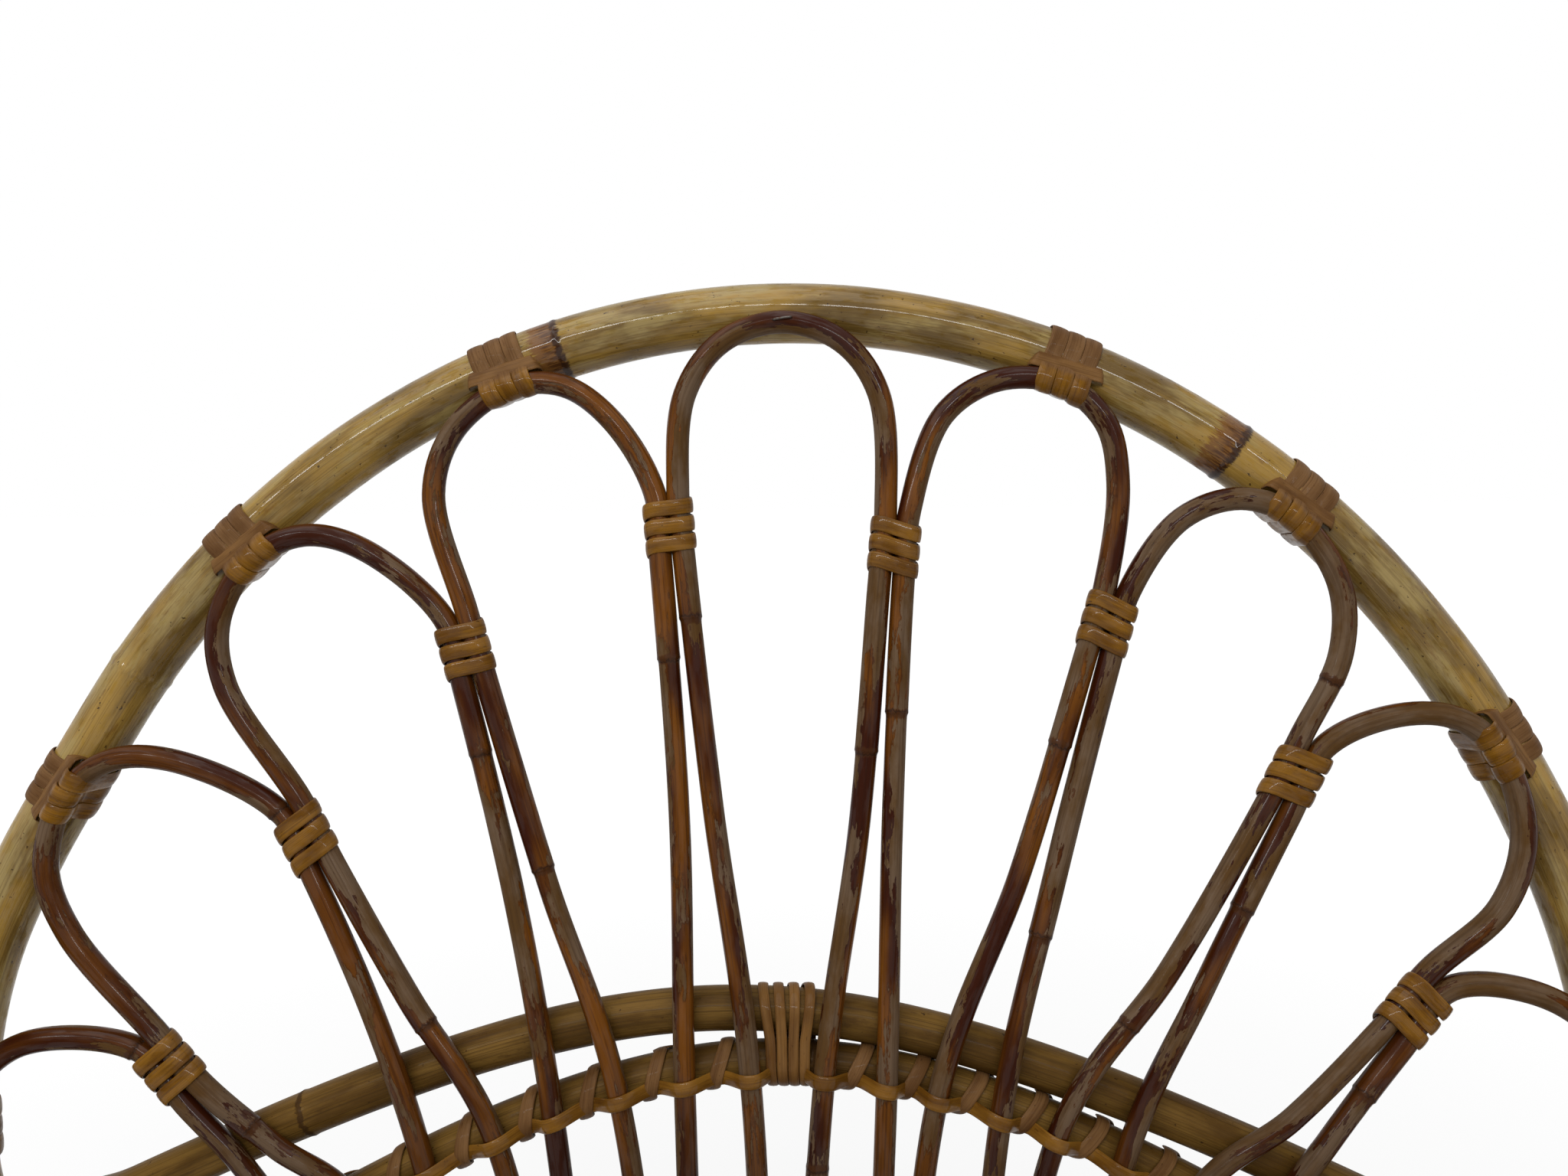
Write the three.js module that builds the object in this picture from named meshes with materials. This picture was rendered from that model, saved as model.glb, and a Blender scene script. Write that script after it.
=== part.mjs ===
// Peacock chair: a bare rattan armchair with a round back of looped canes.
// Millimetres, Z up, the chair faces -Y, the origin is on the floor under the middle of its box.
import * as THREE from 'three';

// Driving sizes of the frame
const RAIL_HEIGHT = 375;
const RECLINE = THREE.MathUtils.degToRad(17);
const HOOP_RADIUS = 418;
const HOOP_PEAK = 3;
const LEFT_FLARE = 17;
const RIGHT_FLARE = 4;
const HOOP_RISE = 205;
const WAIST_HALF = 345;
const REAR_FOOT_HALF = 350;
const REAR_FOOT_BACK = 70;
const POLE = 32;
const RAIL = 25;

// Driving sizes of the fan of petals
// The turns, in degrees about the middle of the hoop, run from the left petal to the right one;
// the legs cross the lumbar arch at these distances from the middle, counted outwards,
// and above it a petal's right and left leg bow towards the neighbour by so much
const TIP_TURNS = [-92, -66, -44.1, -20.8, 0.3, 21.6, 40.9, 62.8, 87];
const PAIR_TURNS = [-85.3, -60, -34.5, -10.7, 11.7, 34, 56.5, 79.7];
const PAIR_RADII = [315, 284, 290, 308, 297, 302, 313, 320];
const CANE = 11;
const TIP_RADIUS = 55;
const TIP_INSET = 15;
const TIP_INSETS = [10, 10, TIP_INSET, TIP_INSET, 10.5, TIP_INSET, 13, 10, 10];
const LEFT_SHOULDERS = [55, 62, 59, 60.5, 53.5, 53.5, 43, 41.5, 51];
const RIGHT_SHOULDERS = [51, 44.5, 47, 47, 53.5, 48.5, 67, 71, 55];
const FOCUS_DROP = 300;
const LEFT_LEGS = [16, 49, 83, 116, 146, 181, 217, 249, 290];
const RIGHT_LEGS = [22, 53, 79, 110, 138, 170, 204, 238, 287];
const RIGHT_LEG_BOW = 3.5;
const LEFT_LEG_BOW = 1.5;
const FOOT_PITCH = 46;
const FOOT_DROP = 14;
const PAIR_SPACE = 1.4;

// Driving sizes of the two arches behind the fan
const LUMBAR = 21;
const LUMBAR_RISE = 26.5;
const LUMBAR_SLOPE = 0.7;
const BRACE = 23;
const BRACE_SLOPE = 0.54;
const BRACE_SHIFT = -23;
const ARCH_ROUND = 200;
const ARCH_PAST_HOOP = 12;
const ARCH_SPACE = 4;

// Driving sizes of the seat, the arms and the aprons
const SEAT_HALF = 290;
const SEAT_DEPTH = 500;
const SEAT_STRAIGHT = 200;
const SEAT_ROUNDNESS = 2.6;
const DECK = 10;
const DECK_PITCH = 30;
const DECK_LOOPS = 9;
const DECK_REAR = 45;
const REAR_CROSS = 62;
const FRONT_CROSS = 285;
const ARM_ANGLE = THREE.MathUtils.degToRad(81);
const ARM_SPREAD = 438;
const ARM_HEIGHT = 610;
const FRONT_LEG_TURN = THREE.MathUtils.degToRad(40);
const FRONT_FOOT_OUT = 14;
const APRON = 16;
const APRON_LOW = 45;
const APRON_SPRING = 125;

// Peel strips and the air left between touching pieces
const PEEL_WIDTH = 8;
const PEEL_THICK = 1.2;
const PEEL_SPACE = 1.4;
const TIE_TURNS = 3;
const LACING_DROP = 4;
const GAP = 0.3;

// Places that follow from the driving sizes
const PETAL_SIDE = (TIP_TURNS.length - 1) / 2;
const HOOP_TOP = HOOP_RISE + HOOP_RADIUS + HOOP_PEAK;
const BACK_Y = (SEAT_DEPTH + RAIL / 2 - HOOP_TOP * Math.sin(RECLINE) - POLE / 2 * Math.cos(RECLINE)) / 2;
const TIE_HALF = TIE_TURNS / 2 * (PEEL_WIDTH + PEEL_SPACE) + PEEL_WIDTH / 2;
const PETAL_FRONT = Math.sqrt(Math.max((POLE / 2 + CANE / 2 + GAP) ** 2 - TIP_INSET ** 2, 0));
const RAIL_BACK = PETAL_FRONT - CANE / 2 - RAIL / 2 - GAP;
const LUMBAR_FRONT = PETAL_FRONT - CANE / 2 - LUMBAR / 2 - GAP;
const BRACE_FRONT = PETAL_FRONT - CANE / 2 - BRACE / 2 - GAP;
const LUMBAR_TOP = HOOP_RISE + LUMBAR_RISE;
const BRACE_TOP = LUMBAR_TOP + LUMBAR / 2 + BRACE / 2 + ARCH_SPACE;

const poleMaterial = new THREE.MeshStandardMaterial({ color: 0x9b804e, roughness: 0.3, metalness: 0 });
const caneMaterial = new THREE.MeshStandardMaterial({ color: 0x603a1c, roughness: 0.35, metalness: 0 });
const archMaterial = new THREE.MeshStandardMaterial({ color: 0x765a2e, roughness: 0.5, metalness: 0 });
const peelMaterial = new THREE.MeshStandardMaterial({ color: 0x966a36, roughness: 0.4, metalness: 0 });

const part = new THREE.Group();
part.name = 'peacock_chair';

function add(name, geometry, material) {
  const mesh = new THREE.Mesh(geometry, material);
  mesh.name = name;
  part.add(mesh);
}

// A point of the back: u across, v up along the reclined plane, w out of it towards the sitter
function back(u, v, w = 0) {
  return new THREE.Vector3(
    u,
    BACK_Y + v * Math.sin(RECLINE) - w * Math.cos(RECLINE),
    RAIL_HEIGHT + v * Math.cos(RECLINE) + w * Math.sin(RECLINE),
  );
}

// A closed skin over a row of equal rings, with a flat lid at each end
function skin(rings) {
  const sides = rings[0].length;
  const position = rings.flat().flatMap((p) => [p.x, p.y, p.z]);
  const index = [];
  for (let i = 0; i + 1 < rings.length; i += 1) {
    for (let j = 0; j < sides; j += 1) {
      const a = i * sides + j;
      const b = i * sides + (j + 1) % sides;
      index.push(a, b, a + sides, b, b + sides, a + sides);
    }
  }
  const last = (rings.length - 1) * sides;
  for (let j = 1; j + 1 < sides; j += 1) {
    index.push(0, j + 1, j, last, last + j, last + j + 1);
  }
  const geometry = new THREE.BufferGeometry();
  geometry.setAttribute('position', new THREE.Float32BufferAttribute(position, 3));
  geometry.setIndex(index);
  geometry.computeVertexNormals();
  return geometry;
}

// Directions of a row of points, one-sided at both ends
function directions(points) {
  return points.map((p, i) => {
    const from = points[Math.max(i - 1, 0)];
    const to = points[Math.min(i + 1, points.length - 1)];
    return to.clone().sub(from).normalize();
  });
}

// A round cane of the given diameter along a row of points, its section carried without twist;
// an end that stands on the floor is cut level
function cane(points, diameter, sides) {
  const along = directions(points);
  const side = new THREE.Vector3(1, 0, 0);
  if (Math.abs(along[0].x) > 0.7) side.set(0, 1, 0);
  const rings = points.map((p, i) => {
    side.addScaledVector(along[i], -side.dot(along[i])).normalize();
    const across = along[i].clone().cross(side);
    return Array.from({ length: sides }, (_, j) => {
      const angle = (j / sides) * Math.PI * 2;
      const corner = p.clone()
        .addScaledVector(side, Math.cos(angle) * diameter / 2)
        .addScaledVector(across, Math.sin(angle) * diameter / 2);
      return p.z === 0 ? corner.addScaledVector(along[i], -corner.z / along[i].z) : corner;
    });
  });
  return skin(rings);
}

// Points along a smooth curve through a few knots
function smooth(knots, steps) {
  return new THREE.CatmullRomCurve3(knots, false, 'centripetal').getSpacedPoints(steps);
}

// The place on a row of points where it passes a height
function atHeight(points, z) {
  const i = points.findIndex((p, k) => k + 1 < points.length && (p.z - z) * (points[k + 1].z - z) <= 0);
  const share = (z - points[i].z) / (points[i + 1].z - points[i].z);
  return points[i].clone().lerp(points[i + 1], share);
}

// Corners of the tightest convex outline round some circles, each taken as the polygon drawn about it
const FLAT_CORNER = 0.05;
function outlineRound(circles, sides) {
  const dots = circles.flatMap(({ x, y, r }) => Array.from({ length: sides }, (_, j) => {
    const angle = ((j + 0.5) / sides) * Math.PI * 2;
    const reach = r / Math.cos(Math.PI / sides);
    return new THREE.Vector2(x + Math.cos(angle) * reach, y + Math.sin(angle) * reach);
  })).sort((p, q) => p.x - q.x || p.y - q.y);
  const turn = (o, p, q) => (p.x - o.x) * (q.y - o.y) - (p.y - o.y) * (q.x - o.x);
  const half = (list) => {
    const chain = [];
    for (const p of list) {
      while (chain.length > 1 && turn(chain.at(-2), chain.at(-1), p) <= FLAT_CORNER) chain.pop();
      chain.push(p);
    }
    chain.pop();
    return chain;
  };
  return [...half(dots), ...half([...dots].reverse())];
}

// Adds a wound strip and prints the least gap between its turns, measured at the corners of its rings
function addWound(name, rings, ringsPerTurn) {
  let least = Infinity;
  const apart = Math.ceil(ringsPerTurn * 0.6);
  for (let i = 0; i + apart < rings.length; i += 1) {
    for (let j = i + apart; j < rings.length; j += 1) {
      for (const p of rings[i]) {
        for (const q of rings[j]) least = Math.min(least, p.distanceTo(q));
      }
    }
  }
  console.log(`${name}: least gap to itself ${least.toFixed(2)} mm`);
  add(name, skin(rings), peelMaterial);
}

// A flat strip wound round some parallel canes; ex and ey span their section, the axis is ex x ey
function wind(name, centre, ex, ey, circles, turns, sides, width = PEEL_WIDTH, space = PEEL_SPACE) {
  const axis = ex.clone().cross(ey);
  const corners = outlineRound(circles.map(({ x, y, r }) => ({ x, y, r: r + GAP })), sides);
  const count = corners.length;
  const steps = turns * count;
  const rings = [];
  for (let i = 0; i <= steps; i += 1) {
    const before = corners[(i + count - 1) % count];
    const here = corners[i % count];
    const after = corners[(i + 1) % count];
    const first = here.clone().sub(before).normalize();
    const second = after.clone().sub(here).normalize();
    const out = new THREE.Vector2(first.y + second.y, -first.x - second.x).normalize();
    const reach = PEEL_THICK / (out.x * first.y - out.y * first.x);
    const place = (i / steps - 0.5) * turns * (width + space);
    const corner = (depth, offset) => centre.clone()
      .addScaledVector(ex, here.x + out.x * depth)
      .addScaledVector(ey, here.y + out.y * depth)
      .addScaledVector(axis, place + offset);
    rings.push([
      corner(0, -width / 2), corner(0, width / 2), corner(reach, width / 2), corner(reach, -width / 2),
    ]);
  }
  addWound(name, rings, count);
}

// Back hoop: a bow, round but for a slight peak and sides that stand out, most on the left;
// it narrows to a waist and runs down as the rear legs
const FLARE_TURN = THREE.MathUtils.degToRad(86);
const FLARE_SPAN = THREE.MathUtils.degToRad(26);
function hoopPlace(turn) {
  const flare = turn < 0 ? LEFT_FLARE : RIGHT_FLARE;
  const off = Math.min(Math.abs(Math.abs(turn) - FLARE_TURN) / FLARE_SPAN, 1);
  const share = Math.cos(off * Math.PI / 2) ** 2;
  const reach = HOOP_RADIUS + HOOP_PEAK * Math.cos(3 * turn) + flare * share;
  return new THREE.Vector2(reach * Math.sin(turn), HOOP_RISE + reach * Math.cos(turn));
}
function hoopSpot(turn) {
  const { x, y } = hoopPlace(turn);
  return back(x, y);
}
// The way out of the hoop, square to its line
function hoopOut(turn) {
  const along = hoopPlace(turn + 0.04).sub(hoopPlace(turn - 0.04)).normalize();
  return new THREE.Vector2(-along.y, along.x);
}
function hoopHalf(side) {
  const knots = [];
  const stepDeg = 8;
  for (let deg = 96; deg > 0; deg -= stepDeg) {
    knots.push(hoopSpot(THREE.MathUtils.degToRad(side * deg)));
  }
  const footY = BACK_Y + REAR_FOOT_BACK;
  const foot = new THREE.Vector3(side * REAR_FOOT_HALF, footY, 0);
  const calf = new THREE.Vector3(side * (WAIST_HALF - 5), BACK_Y + REAR_FOOT_BACK * 0.5, RAIL_HEIGHT * 0.47);
  const widest = knots[0];
  const shoulder = back(side * (WAIST_HALF * 0.52 + widest.x * side * 0.48), HOOP_RISE * 0.42);
  return [foot, calf, back(side * WAIST_HALF, 0), shoulder, ...knots];
}
const hoopPath = smooth([...hoopHalf(-1), hoopSpot(0), ...hoopHalf(1).reverse()], 68);
add('back_hoop', cane(hoopPath, POLE, 10), poleMaterial);
const rearLegs = { '-1': hoopPath.slice(0, 17), 1: hoopPath.slice(-17) };

// Lumbar arch and brace arch: hyperbolas in the plane of the back, ends behind the hoop
function archDrop(u, slope) {
  return slope * (Math.hypot(u, ARCH_ROUND) - ARCH_ROUND);
}
const lumbarAt = (u) => LUMBAR_TOP - archDrop(u, LUMBAR_SLOPE);
const braceAt = (u) => BRACE_TOP - archDrop(u - BRACE_SHIFT, BRACE_SLOPE);

function archReach(height, side) {
  let reach = HOOP_RADIUS * 0.5;
  while (Math.hypot(reach, height(side * reach) - HOOP_RISE) < HOOP_RADIUS) reach += 0.5;
  return reach;
}

function archPath(height, front, diameter) {
  const left = archReach(height, -1);
  const right = archReach(height, 1);
  const behind = -(POLE / 2 + diameter / 2 + GAP);
  const bend = 75;
  const steps = 28;
  return Array.from({ length: steps + 1 }, (_, i) => {
    const u = THREE.MathUtils.lerp(-left - ARCH_PAST_HOOP, right + ARCH_PAST_HOOP, i / steps);
    const reach = u < 0 ? left : right;
    const share = THREE.MathUtils.smoothstep(Math.abs(u), reach - bend, reach - POLE / 2 - diameter / 2);
    return back(u, height(u), front + (behind - front) * share);
  });
}
add('lumbar_arch', cane(archPath(lumbarAt, LUMBAR_FRONT, LUMBAR), LUMBAR, 8), archMaterial);
add('brace_arch', cane(archPath(braceAt, BRACE_FRONT, BRACE), BRACE, 8), archMaterial);

// Petals: teardrop loops, each crossing the arch with two legs that meet at the rear rail
const petalName = (k) => (k === 0 ? 'c' : `${k < 0 ? 'l' : 'r'}${Math.abs(k)}`);
const focus = new THREE.Vector2(0, HOOP_RISE - FOCUS_DROP);
const tipTurn = (k) => THREE.MathUtils.degToRad(TIP_TURNS[k + PETAL_SIDE]);

// Where petals k and k + 1 lie side by side: the place, the way down and the way to the right
function pairPlace(k) {
  const turn = THREE.MathUtils.degToRad(PAIR_TURNS[k + PETAL_SIDE]);
  const radius = PAIR_RADII[k + PETAL_SIDE];
  const place = new THREE.Vector2(radius * Math.sin(turn), HOOP_RISE + radius * Math.cos(turn));
  const down = focus.clone().sub(place).normalize();
  return { place, down, right: new THREE.Vector2(-down.y, down.x) };
}

function petalLeg(k, side) {
  const inner = side * k < 0;
  const leg = Math.abs(k) * 2 - (inner ? 1 : 0);
  const half = k === 0 ? side : k;
  const u = half < 0 ? -LEFT_LEGS[leg] : RIGHT_LEGS[leg];
  const cross = new THREE.Vector2(u, lumbarAt(u));
  const footCentre = FOOT_PITCH * k;
  const lean = Math.hypot(1, (u - footCentre) / (cross.y + FOOT_DROP));
  const foot = new THREE.Vector2(footCentre + side * (CANE + 2 * GAP) / 2 * lean, -FOOT_DROP);
  const knots = [foot, cross];
  const last = side * k === PETAL_SIDE;
  if (!last) {
    const { place, down, right } = pairPlace(side > 0 ? k : k - 1);
    const off = -side * (CANE + PAIR_SPACE) / 2;
    const hold = TIE_HALF + 1;
    const centre = place.clone().addScaledVector(right, off);
    const lower = centre.clone().addScaledVector(down, hold);
    const bow = side > 0 ? RIGHT_LEG_BOW : LEFT_LEG_BOW;
    const middle = cross.clone().lerp(lower, 0.5).addScaledVector(right, side * bow);
    knots.push(middle, lower, centre.clone().addScaledVector(down, -hold));
  }
  return knots;
}

// How far inside the hoop's middle line the tip of petal k lies, how far in front, and its half widths
function petalTip(k) {
  const inset = TIP_INSETS[k + PETAL_SIDE];
  const front = Math.sqrt(Math.max((POLE / 2 + CANE / 2 + GAP) ** 2 - inset ** 2, 0));
  return { inset, front, left: LEFT_SHOULDERS[k + PETAL_SIDE], right: RIGHT_SHOULDERS[k + PETAL_SIDE] };
}

function petalCurve(k) {
  const turn = tipTurn(k);
  const out = hoopOut(turn);
  const right = new THREE.Vector2(out.y, -out.x);
  const { inset, front, left: leftHalf, right: rightHalf } = petalTip(k);
  const centre = hoopPlace(turn).addScaledVector(out, -inset - TIP_RADIUS);
  const tip = [-72, -36, 0, 36, 72].map((deg) => {
    const angle = THREE.MathUtils.degToRad(deg);
    const flat = centre.clone()
      .addScaledVector(out, TIP_RADIUS * Math.cos(angle))
      .addScaledVector(right, (deg < 0 ? leftHalf : rightHalf) * Math.sin(angle));
    const lift = Math.abs(deg) > 60 ? 0.7 : 1;
    return new THREE.Vector3(flat.x, flat.y, THREE.MathUtils.lerp(PETAL_FRONT, front, lift));
  });
  const leg = (side) => petalLeg(k, side).map((p) => new THREE.Vector3(p.x, p.y, PETAL_FRONT));
  return new THREE.CatmullRomCurve3([...leg(-1), ...tip, ...leg(1).reverse()], false, 'centripetal');
}

// The cane lies straight under a pair tie, so that stretch is one step; the others have two
function petalPath(k) {
  const curve = petalCurve(k);
  const spans = curve.points.length - 1;
  const tied = [];
  if (k > -PETAL_SIDE) tied.push(3);
  if (k < PETAL_SIDE) tied.push(spans - 4);
  const points = [curve.getPoint(0)];
  for (let i = 0; i < spans; i += 1) {
    const steps = tied.includes(i) ? 1 : 2;
    for (let j = 1; j <= steps; j += 1) points.push(curve.getPoint((i + j / steps) / spans));
  }
  return points.map((p) => back(p.x, p.y, p.z));
}

for (let k = -PETAL_SIDE; k <= PETAL_SIDE; k += 1) {
  add(`petal_${petalName(k)}`, cane(petalPath(k), CANE, 8), caneMaterial);
}

// Pair ties: three turns of peel round the two canes where neighbouring petals touch
const acrossBack = (flat) => back(flat.x, flat.y).sub(back(0, 0));
const outOfBack = back(0, 0, 1).sub(back(0, 0));
for (let k = -PETAL_SIDE; k < PETAL_SIDE; k += 1) {
  const { place, right } = pairPlace(k);
  const off = (CANE + PAIR_SPACE) / 2;
  const circles = [{ x: -off, y: 0, r: CANE / 2 }, { x: off, y: 0, r: CANE / 2 }];
  const centre = back(place.x, place.y, PETAL_FRONT);
  const name = `pair_tie_${petalName(k)}_${petalName(k + 1)}`;
  wind(name, centre, acrossBack(right), outOfBack, circles, TIE_TURNS, 8);
}

// Tip ties: three turns of peel round the hoop and the tip of each petal but the middle one
for (let k = -PETAL_SIDE; k <= PETAL_SIDE; k += 1) {
  if (k !== 0) {
    const turn = tipTurn(k);
    const inward = hoopOut(turn).negate();
    const { inset, front, left, right } = petalTip(k);
    const sag = TIP_RADIUS * (1 - Math.sqrt(Math.max(1 - (TIE_HALF / Math.min(left, right)) ** 2, 0)));
    const circles = [
      { x: 0, y: 0, r: POLE / 2 + 3 * GAP },
      { x: inset, y: front, r: CANE / 2 + GAP },
      { x: inset + sag, y: front, r: CANE / 2 + GAP },
    ];
    wind(`tip_tie_${petalName(k)}`, hoopSpot(turn), acrossBack(inward), outOfBack, circles, TIE_TURNS, 8);
  }
}

// Arch tie: four narrow turns round the lumbar arch and the brace arch, between the middle legs
{
  const turns = 4;
  const space = 0.8;
  const between = LEFT_LEGS[0] + RIGHT_LEGS[0] - CANE - 8 * GAP;
  const width = between / turns - space;
  const middle = (RIGHT_LEGS[0] - LEFT_LEGS[0]) / 2;
  const circles = [
    { x: lumbarAt(middle), y: LUMBAR_FRONT, r: LUMBAR / 2 + 2 * GAP },
    { x: braceAt(middle), y: BRACE_FRONT, r: BRACE / 2 + 2 * GAP },
  ];
  wind('arch_tie', back(middle, 0), acrossBack(new THREE.Vector2(0, 1)), outOfBack, circles, turns, 10, width, space);
}

// Lumbar lacing: a plain strip on each half, in front of the petal legs at the lower edge of the arch
function lace(name, from, to) {
  const steps = 20;
  const rings = Array.from({ length: steps + 1 }, (_, i) => {
    const u = THREE.MathUtils.lerp(from, to, i / steps);
    const tilt = lumbarAt(u + 0.5) - lumbarAt(u - 0.5);
    const across = new THREE.Vector2(-tilt, 1).normalize();
    const corner = (rise, depth) => back(
      u + across.x * (rise - LACING_DROP),
      lumbarAt(u) + across.y * (rise - LACING_DROP),
      PETAL_FRONT + CANE / 2 + GAP + depth,
    );
    const half = PEEL_WIDTH / 2;
    return [corner(-half, 0), corner(half, 0), corner(half, PEEL_THICK), corner(-half, PEEL_THICK)];
  });
  add(name, skin(rings), peelMaterial);
}
lace('lumbar_lacing_left', -LEFT_LEGS.at(-1) - CANE, CANE - LEFT_LEGS[0]);
lace('lumbar_lacing_right', RIGHT_LEGS[0] - CANE, RIGHT_LEGS.at(-1) + CANE);

// Rear rail between the rear legs, behind the feet of the petals
const railCentre = back(0, 0, RAIL_BACK);
function straight(name, from, to, diameter) {
  add(name, cane([from, to], diameter, 10), poleMaterial);
}
const railLeg = [-0.5, 0, 0.5].map((share) => atHeight(rearLegs[1], railCentre.z + share * RAIL).x);
const railHalf = Math.min(...railLeg) - POLE / 2 - 2 * GAP;
straight('rear_rail', railCentre.clone().setX(-railHalf), railCentre.clone().setX(railHalf), RAIL);

// Seat frame: a U of pole with a rounded front, lying level at the height of the rails
const seatStart = railCentre.y - RAIL / 2 - GAP;
const seatMiddle = BACK_Y - SEAT_STRAIGHT;
const seatReach = SEAT_DEPTH - SEAT_STRAIGHT;
const power = (value, exponent) => Math.sign(value) * Math.abs(value) ** exponent;
function seatCurve(turn) {
  return new THREE.Vector3(
    SEAT_HALF * power(Math.cos(turn), 2 / SEAT_ROUNDNESS),
    seatMiddle - seatReach * power(Math.sin(turn), 2 / SEAT_ROUNDNESS),
    RAIL_HEIGHT,
  );
}
const seatHalfAt = (y) => {
  const share = Math.max(seatMiddle - y, 0) / seatReach;
  return SEAT_HALF * (1 - share ** SEAT_ROUNDNESS) ** (1 / SEAT_ROUNDNESS);
};
const seatFrontAt = (x) => {
  const share = Math.abs(x) / SEAT_HALF;
  return seatMiddle - seatReach * (1 - share ** SEAT_ROUNDNESS) ** (1 / SEAT_ROUNDNESS);
};
const seatSteps = 24;
const seatFront = Array.from({ length: seatSteps + 1 }, (_, i) => seatCurve(Math.PI * i / seatSteps));
const seatEnd = (side) => new THREE.Vector3(side * SEAT_HALF, seatStart, RAIL_HEIGHT);
add('seat_frame', cane([seatEnd(1), ...seatFront, seatEnd(-1)], RAIL, 10), poleMaterial);

// Cross rails under the seat loops
for (const [name, behind] of [['cross_rail_rear', REAR_CROSS], ['cross_rail_front', FRONT_CROSS]]) {
  const y = BACK_Y - behind;
  const narrow = Math.min(seatHalfAt(y - RAIL / 2), SEAT_HALF);
  const half = narrow - RAIL / 2 - 2 * GAP;
  straight(name, new THREE.Vector3(-half, y, RAIL_HEIGHT), new THREE.Vector3(half, y, RAIL_HEIGHT), RAIL);
}

// Seat loops: hairpins of cane side by side, round ends at the front
const deckZ = RAIL_HEIGHT + (RAIL + DECK) / 2;
for (let i = 0; i < DECK_LOOPS; i += 1) {
  const x = (i - (DECK_LOOPS - 1) / 2) * DECK_PITCH * 2;
  const half = DECK_PITCH / 2;
  const rear = BACK_Y - DECK_REAR;
  const front = seatFrontAt(Math.abs(x) + half) + half;
  const points = [new THREE.Vector3(x - half, rear, deckZ)];
  const steps = 6;
  for (let s = 0; s <= steps; s += 1) {
    const angle = Math.PI * (1 - s / steps);
    points.push(new THREE.Vector3(x + half * Math.cos(angle), front - half * Math.sin(angle), deckZ));
  }
  points.push(new THREE.Vector3(x + half, rear, deckZ));
  add(`seat_loop_${i + 1}`, cane(points, DECK, 8), caneMaterial);
}

// Arm poles: up from the floor past the seat frame, outwards, and back to the hoop
function armPath(side) {
  const beside = seatCurve(FRONT_LEG_TURN);
  const out = new THREE.Vector2(
    Math.cos(FRONT_LEG_TURN) ** (2 - 2 / SEAT_ROUNDNESS) / SEAT_HALF,
    -(Math.sin(FRONT_LEG_TURN) ** (2 - 2 / SEAT_ROUNDNESS)) / seatReach,
  ).normalize().multiplyScalar(RAIL / 2 + POLE / 2 + 2 * GAP);
  const legX = beside.x + out.x;
  const legY = beside.y + out.y;
  const at = (x, y, z) => new THREE.Vector3(side * x, y, z);
  const end = hoopSpot(side * ARM_ANGLE).addScaledVector(outOfBack, POLE / 2 + 5 * GAP);
  const near = end.clone().addScaledVector(outOfBack, 25);
  const flare = ARM_SPREAD - legX;
  const rise = ARM_HEIGHT - RAIL_HEIGHT;
  const run = near.y - legY;
  const knots = [
    at(legX + FRONT_FOOT_OUT, legY, 0),
    at(legX + FRONT_FOOT_OUT * 0.4, legY, RAIL_HEIGHT * 0.6),
    at(legX, legY, RAIL_HEIGHT),
    at(legX + flare * 0.2, legY, RAIL_HEIGHT + rise * 0.45),
    at(legX + flare * 0.48, legY + run * 0.03, RAIL_HEIGHT + rise * 0.83),
    at(legX + flare * 0.7, legY + run * 0.14, RAIL_HEIGHT + rise * 0.98),
    at(legX + flare * 0.93, legY + run * 0.4, RAIL_HEIGHT + rise * 1.02),
    at(legX + flare, legY + run * 0.72, RAIL_HEIGHT + rise * 1.01),
    near,
    end,
  ];
  return smooth(knots, 30);
}
const frontLegs = { '-1': armPath(-1), 1: armPath(1) };
add('arm_left', cane(frontLegs[-1], POLE, 10), poleMaterial);
add('arm_right', cane(frontLegs[1], POLE, 10), poleMaterial);

// Aprons: arches of cane between the legs, their crowns under the rails
const apronCrown = RAIL_HEIGHT - RAIL / 2 - GAP - APRON / 2;
function apron(name, legA, legB, crown) {
  const foot = (leg, other, z, air = 3 * GAP) => {
    const at = atHeight(leg, z);
    const way = atHeight(other, z).sub(at).setZ(0).normalize();
    return at.addScaledVector(way, POLE / 2 + APRON / 2 + air);
  };
  const springA = foot(legA, legB, APRON_SPRING, 15 * GAP);
  const springB = foot(legB, legA, APRON_SPRING, 15 * GAP);
  const middle = springA.clone().lerp(springB, 0.5);
  const bulge = crown.clone().sub(middle);
  const rise = Array.from({ length: 7 }, (_, i) => {
    const share = (1 - Math.cos(Math.PI * (i + 1) / 8)) / 2;
    const height = 4 * share * (1 - share);
    const point = springA.clone().lerp(springB, share);
    point.x += bulge.x * height;
    point.y += bulge.y * height;
    point.z = APRON_SPRING + (crown.z - APRON_SPRING) * height;
    return point;
  });
  const knots = [foot(legA, legB, APRON_LOW), springA, ...rise, springB, foot(legB, legA, APRON_LOW)];
  const path = smooth(knots, 20);
  add(name, cane(path, APRON, 8), archMaterial);
  return path;
}
const frontApron = apron(
  'apron_front',
  frontLegs[-1],
  frontLegs[1],
  new THREE.Vector3(0, seatMiddle - seatReach, apronCrown),
);
const rearApron = apron(
  'apron_rear',
  rearLegs[-1],
  rearLegs[1],
  new THREE.Vector3(0, railCentre.y, railCentre.z - RAIL_HEIGHT + apronCrown),
);
const sideAprons = {};
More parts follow.
